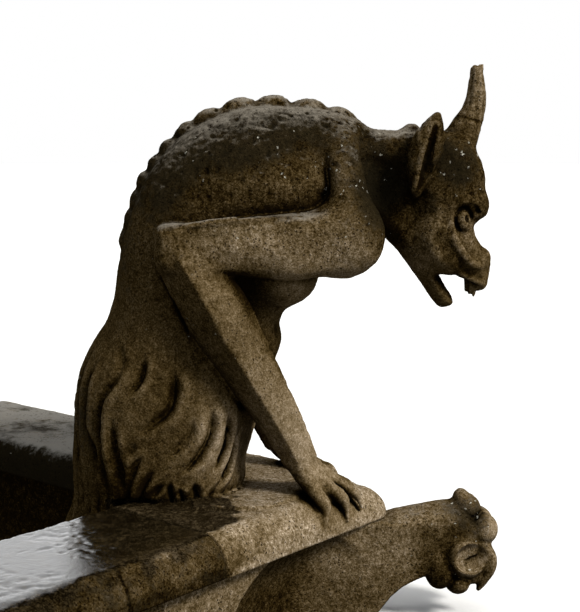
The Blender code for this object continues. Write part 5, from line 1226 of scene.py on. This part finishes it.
world = bpy.data.worlds.new("studio")
bpy.context.scene.world = world
world.use_nodes = True
wt = world.node_tree
bg = wt.nodes["Background"]
bg.inputs["Color"].default_value = (.95, .97, 1.0, 1)
bg.inputs["Strength"].default_value = 0.40
back = wt.nodes.new("ShaderNodeBackground")
back.inputs["Color"].default_value = (1.0, 1.0, 1.0, 1)
back.inputs["Strength"].default_value = 1.0
gloss = wt.nodes.new("ShaderNodeBackground")
gloss.inputs["Color"].default_value = (.98, .99, 1.0, 1)
gloss.inputs["Strength"].default_value = 2.1
path = wt.nodes.new("ShaderNodeLightPath")
shine = wt.nodes.new("ShaderNodeMixShader")
wt.links.new(path.outputs["Is Glossy Ray"], shine.inputs[0])
wt.links.new(bg.outputs[0], shine.inputs[1])
wt.links.new(gloss.outputs[0], shine.inputs[2])
pick = wt.nodes.new("ShaderNodeMixShader")
wt.links.new(path.outputs["Is Camera Ray"], pick.inputs[0])
wt.links.new(shine.outputs[0], pick.inputs[1])
wt.links.new(back.outputs[0], pick.inputs[2])
wt.links.new(pick.outputs[0], wt.nodes["World Output"].inputs["Surface"])

def area(name, at, to, size, power, colour=(1, 1, 1)):
    L = bpy.data.lights.new(name, "AREA")
    L.shape = "RECTANGLE"
    L.size, L.size_y = size
    L.energy = power
    L.color = colour
    o = bpy.data.objects.new(name, L)
    bpy.context.scene.collection.objects.link(o)
    o.location = at
    d = np.array(to, float) - np.array(at, float)
    d /= np.linalg.norm(d)
    z = -d
    x = np.cross((0, 0, 1), z)
    x = x / np.linalg.norm(x) if np.linalg.norm(x) > 1e-6 else np.array([1.0, 0, 0])
    y = np.cross(z, x)
    from mathutils import Matrix
    o.matrix_world = Matrix(((x[0], y[0], z[0], at[0]), (x[1], y[1], z[1], at[1]), (x[2], y[2], z[2], at[2]), (0, 0, 0, 1)))
    return o

def sun(name, towards, strength, angle, colour=(1, 1, 1)):
    L = bpy.data.lights.new(name, "SUN")
    L.energy = strength
    L.angle = math.radians(angle)
    L.color = colour
    o = bpy.data.objects.new(name, L)
    bpy.context.scene.collection.objects.link(o)
    d = np.array(towards, float)
    from mathutils import Vector
    o.rotation_euler = Vector(d).to_track_quat("Z", "Y").to_euler()
    return o

sun("sky", (0.05, -0.05, 1.0), 1.05, 60, (1.0, .99, .97))
sun("key", (0.80, -0.62, 0.85), 3.5, 14, (1.0, .97, .92))

cam_data = bpy.data.cameras.new("camera")
cam_data.sensor_fit = "HORIZONTAL"
cam_data.sensor_width = 36.0
cam_data.lens = 1300.0 * 36.0 / 580.0
cam_data.clip_end = 200.0
camera = bpy.data.objects.new("camera", cam_data)
camera.location = (-0.29588, -3.38196, 0.95006 + BASE)
camera.rotation_euler = (math.radians(82.0), 0.0, math.radians(-5.0))
bpy.context.scene.collection.objects.link(camera)
bpy.context.scene.camera = camera
bpy.context.scene.view_settings.view_transform = "Standard"
bpy.context.scene.view_settings.look = "None"

bpy.context.view_layer.update()
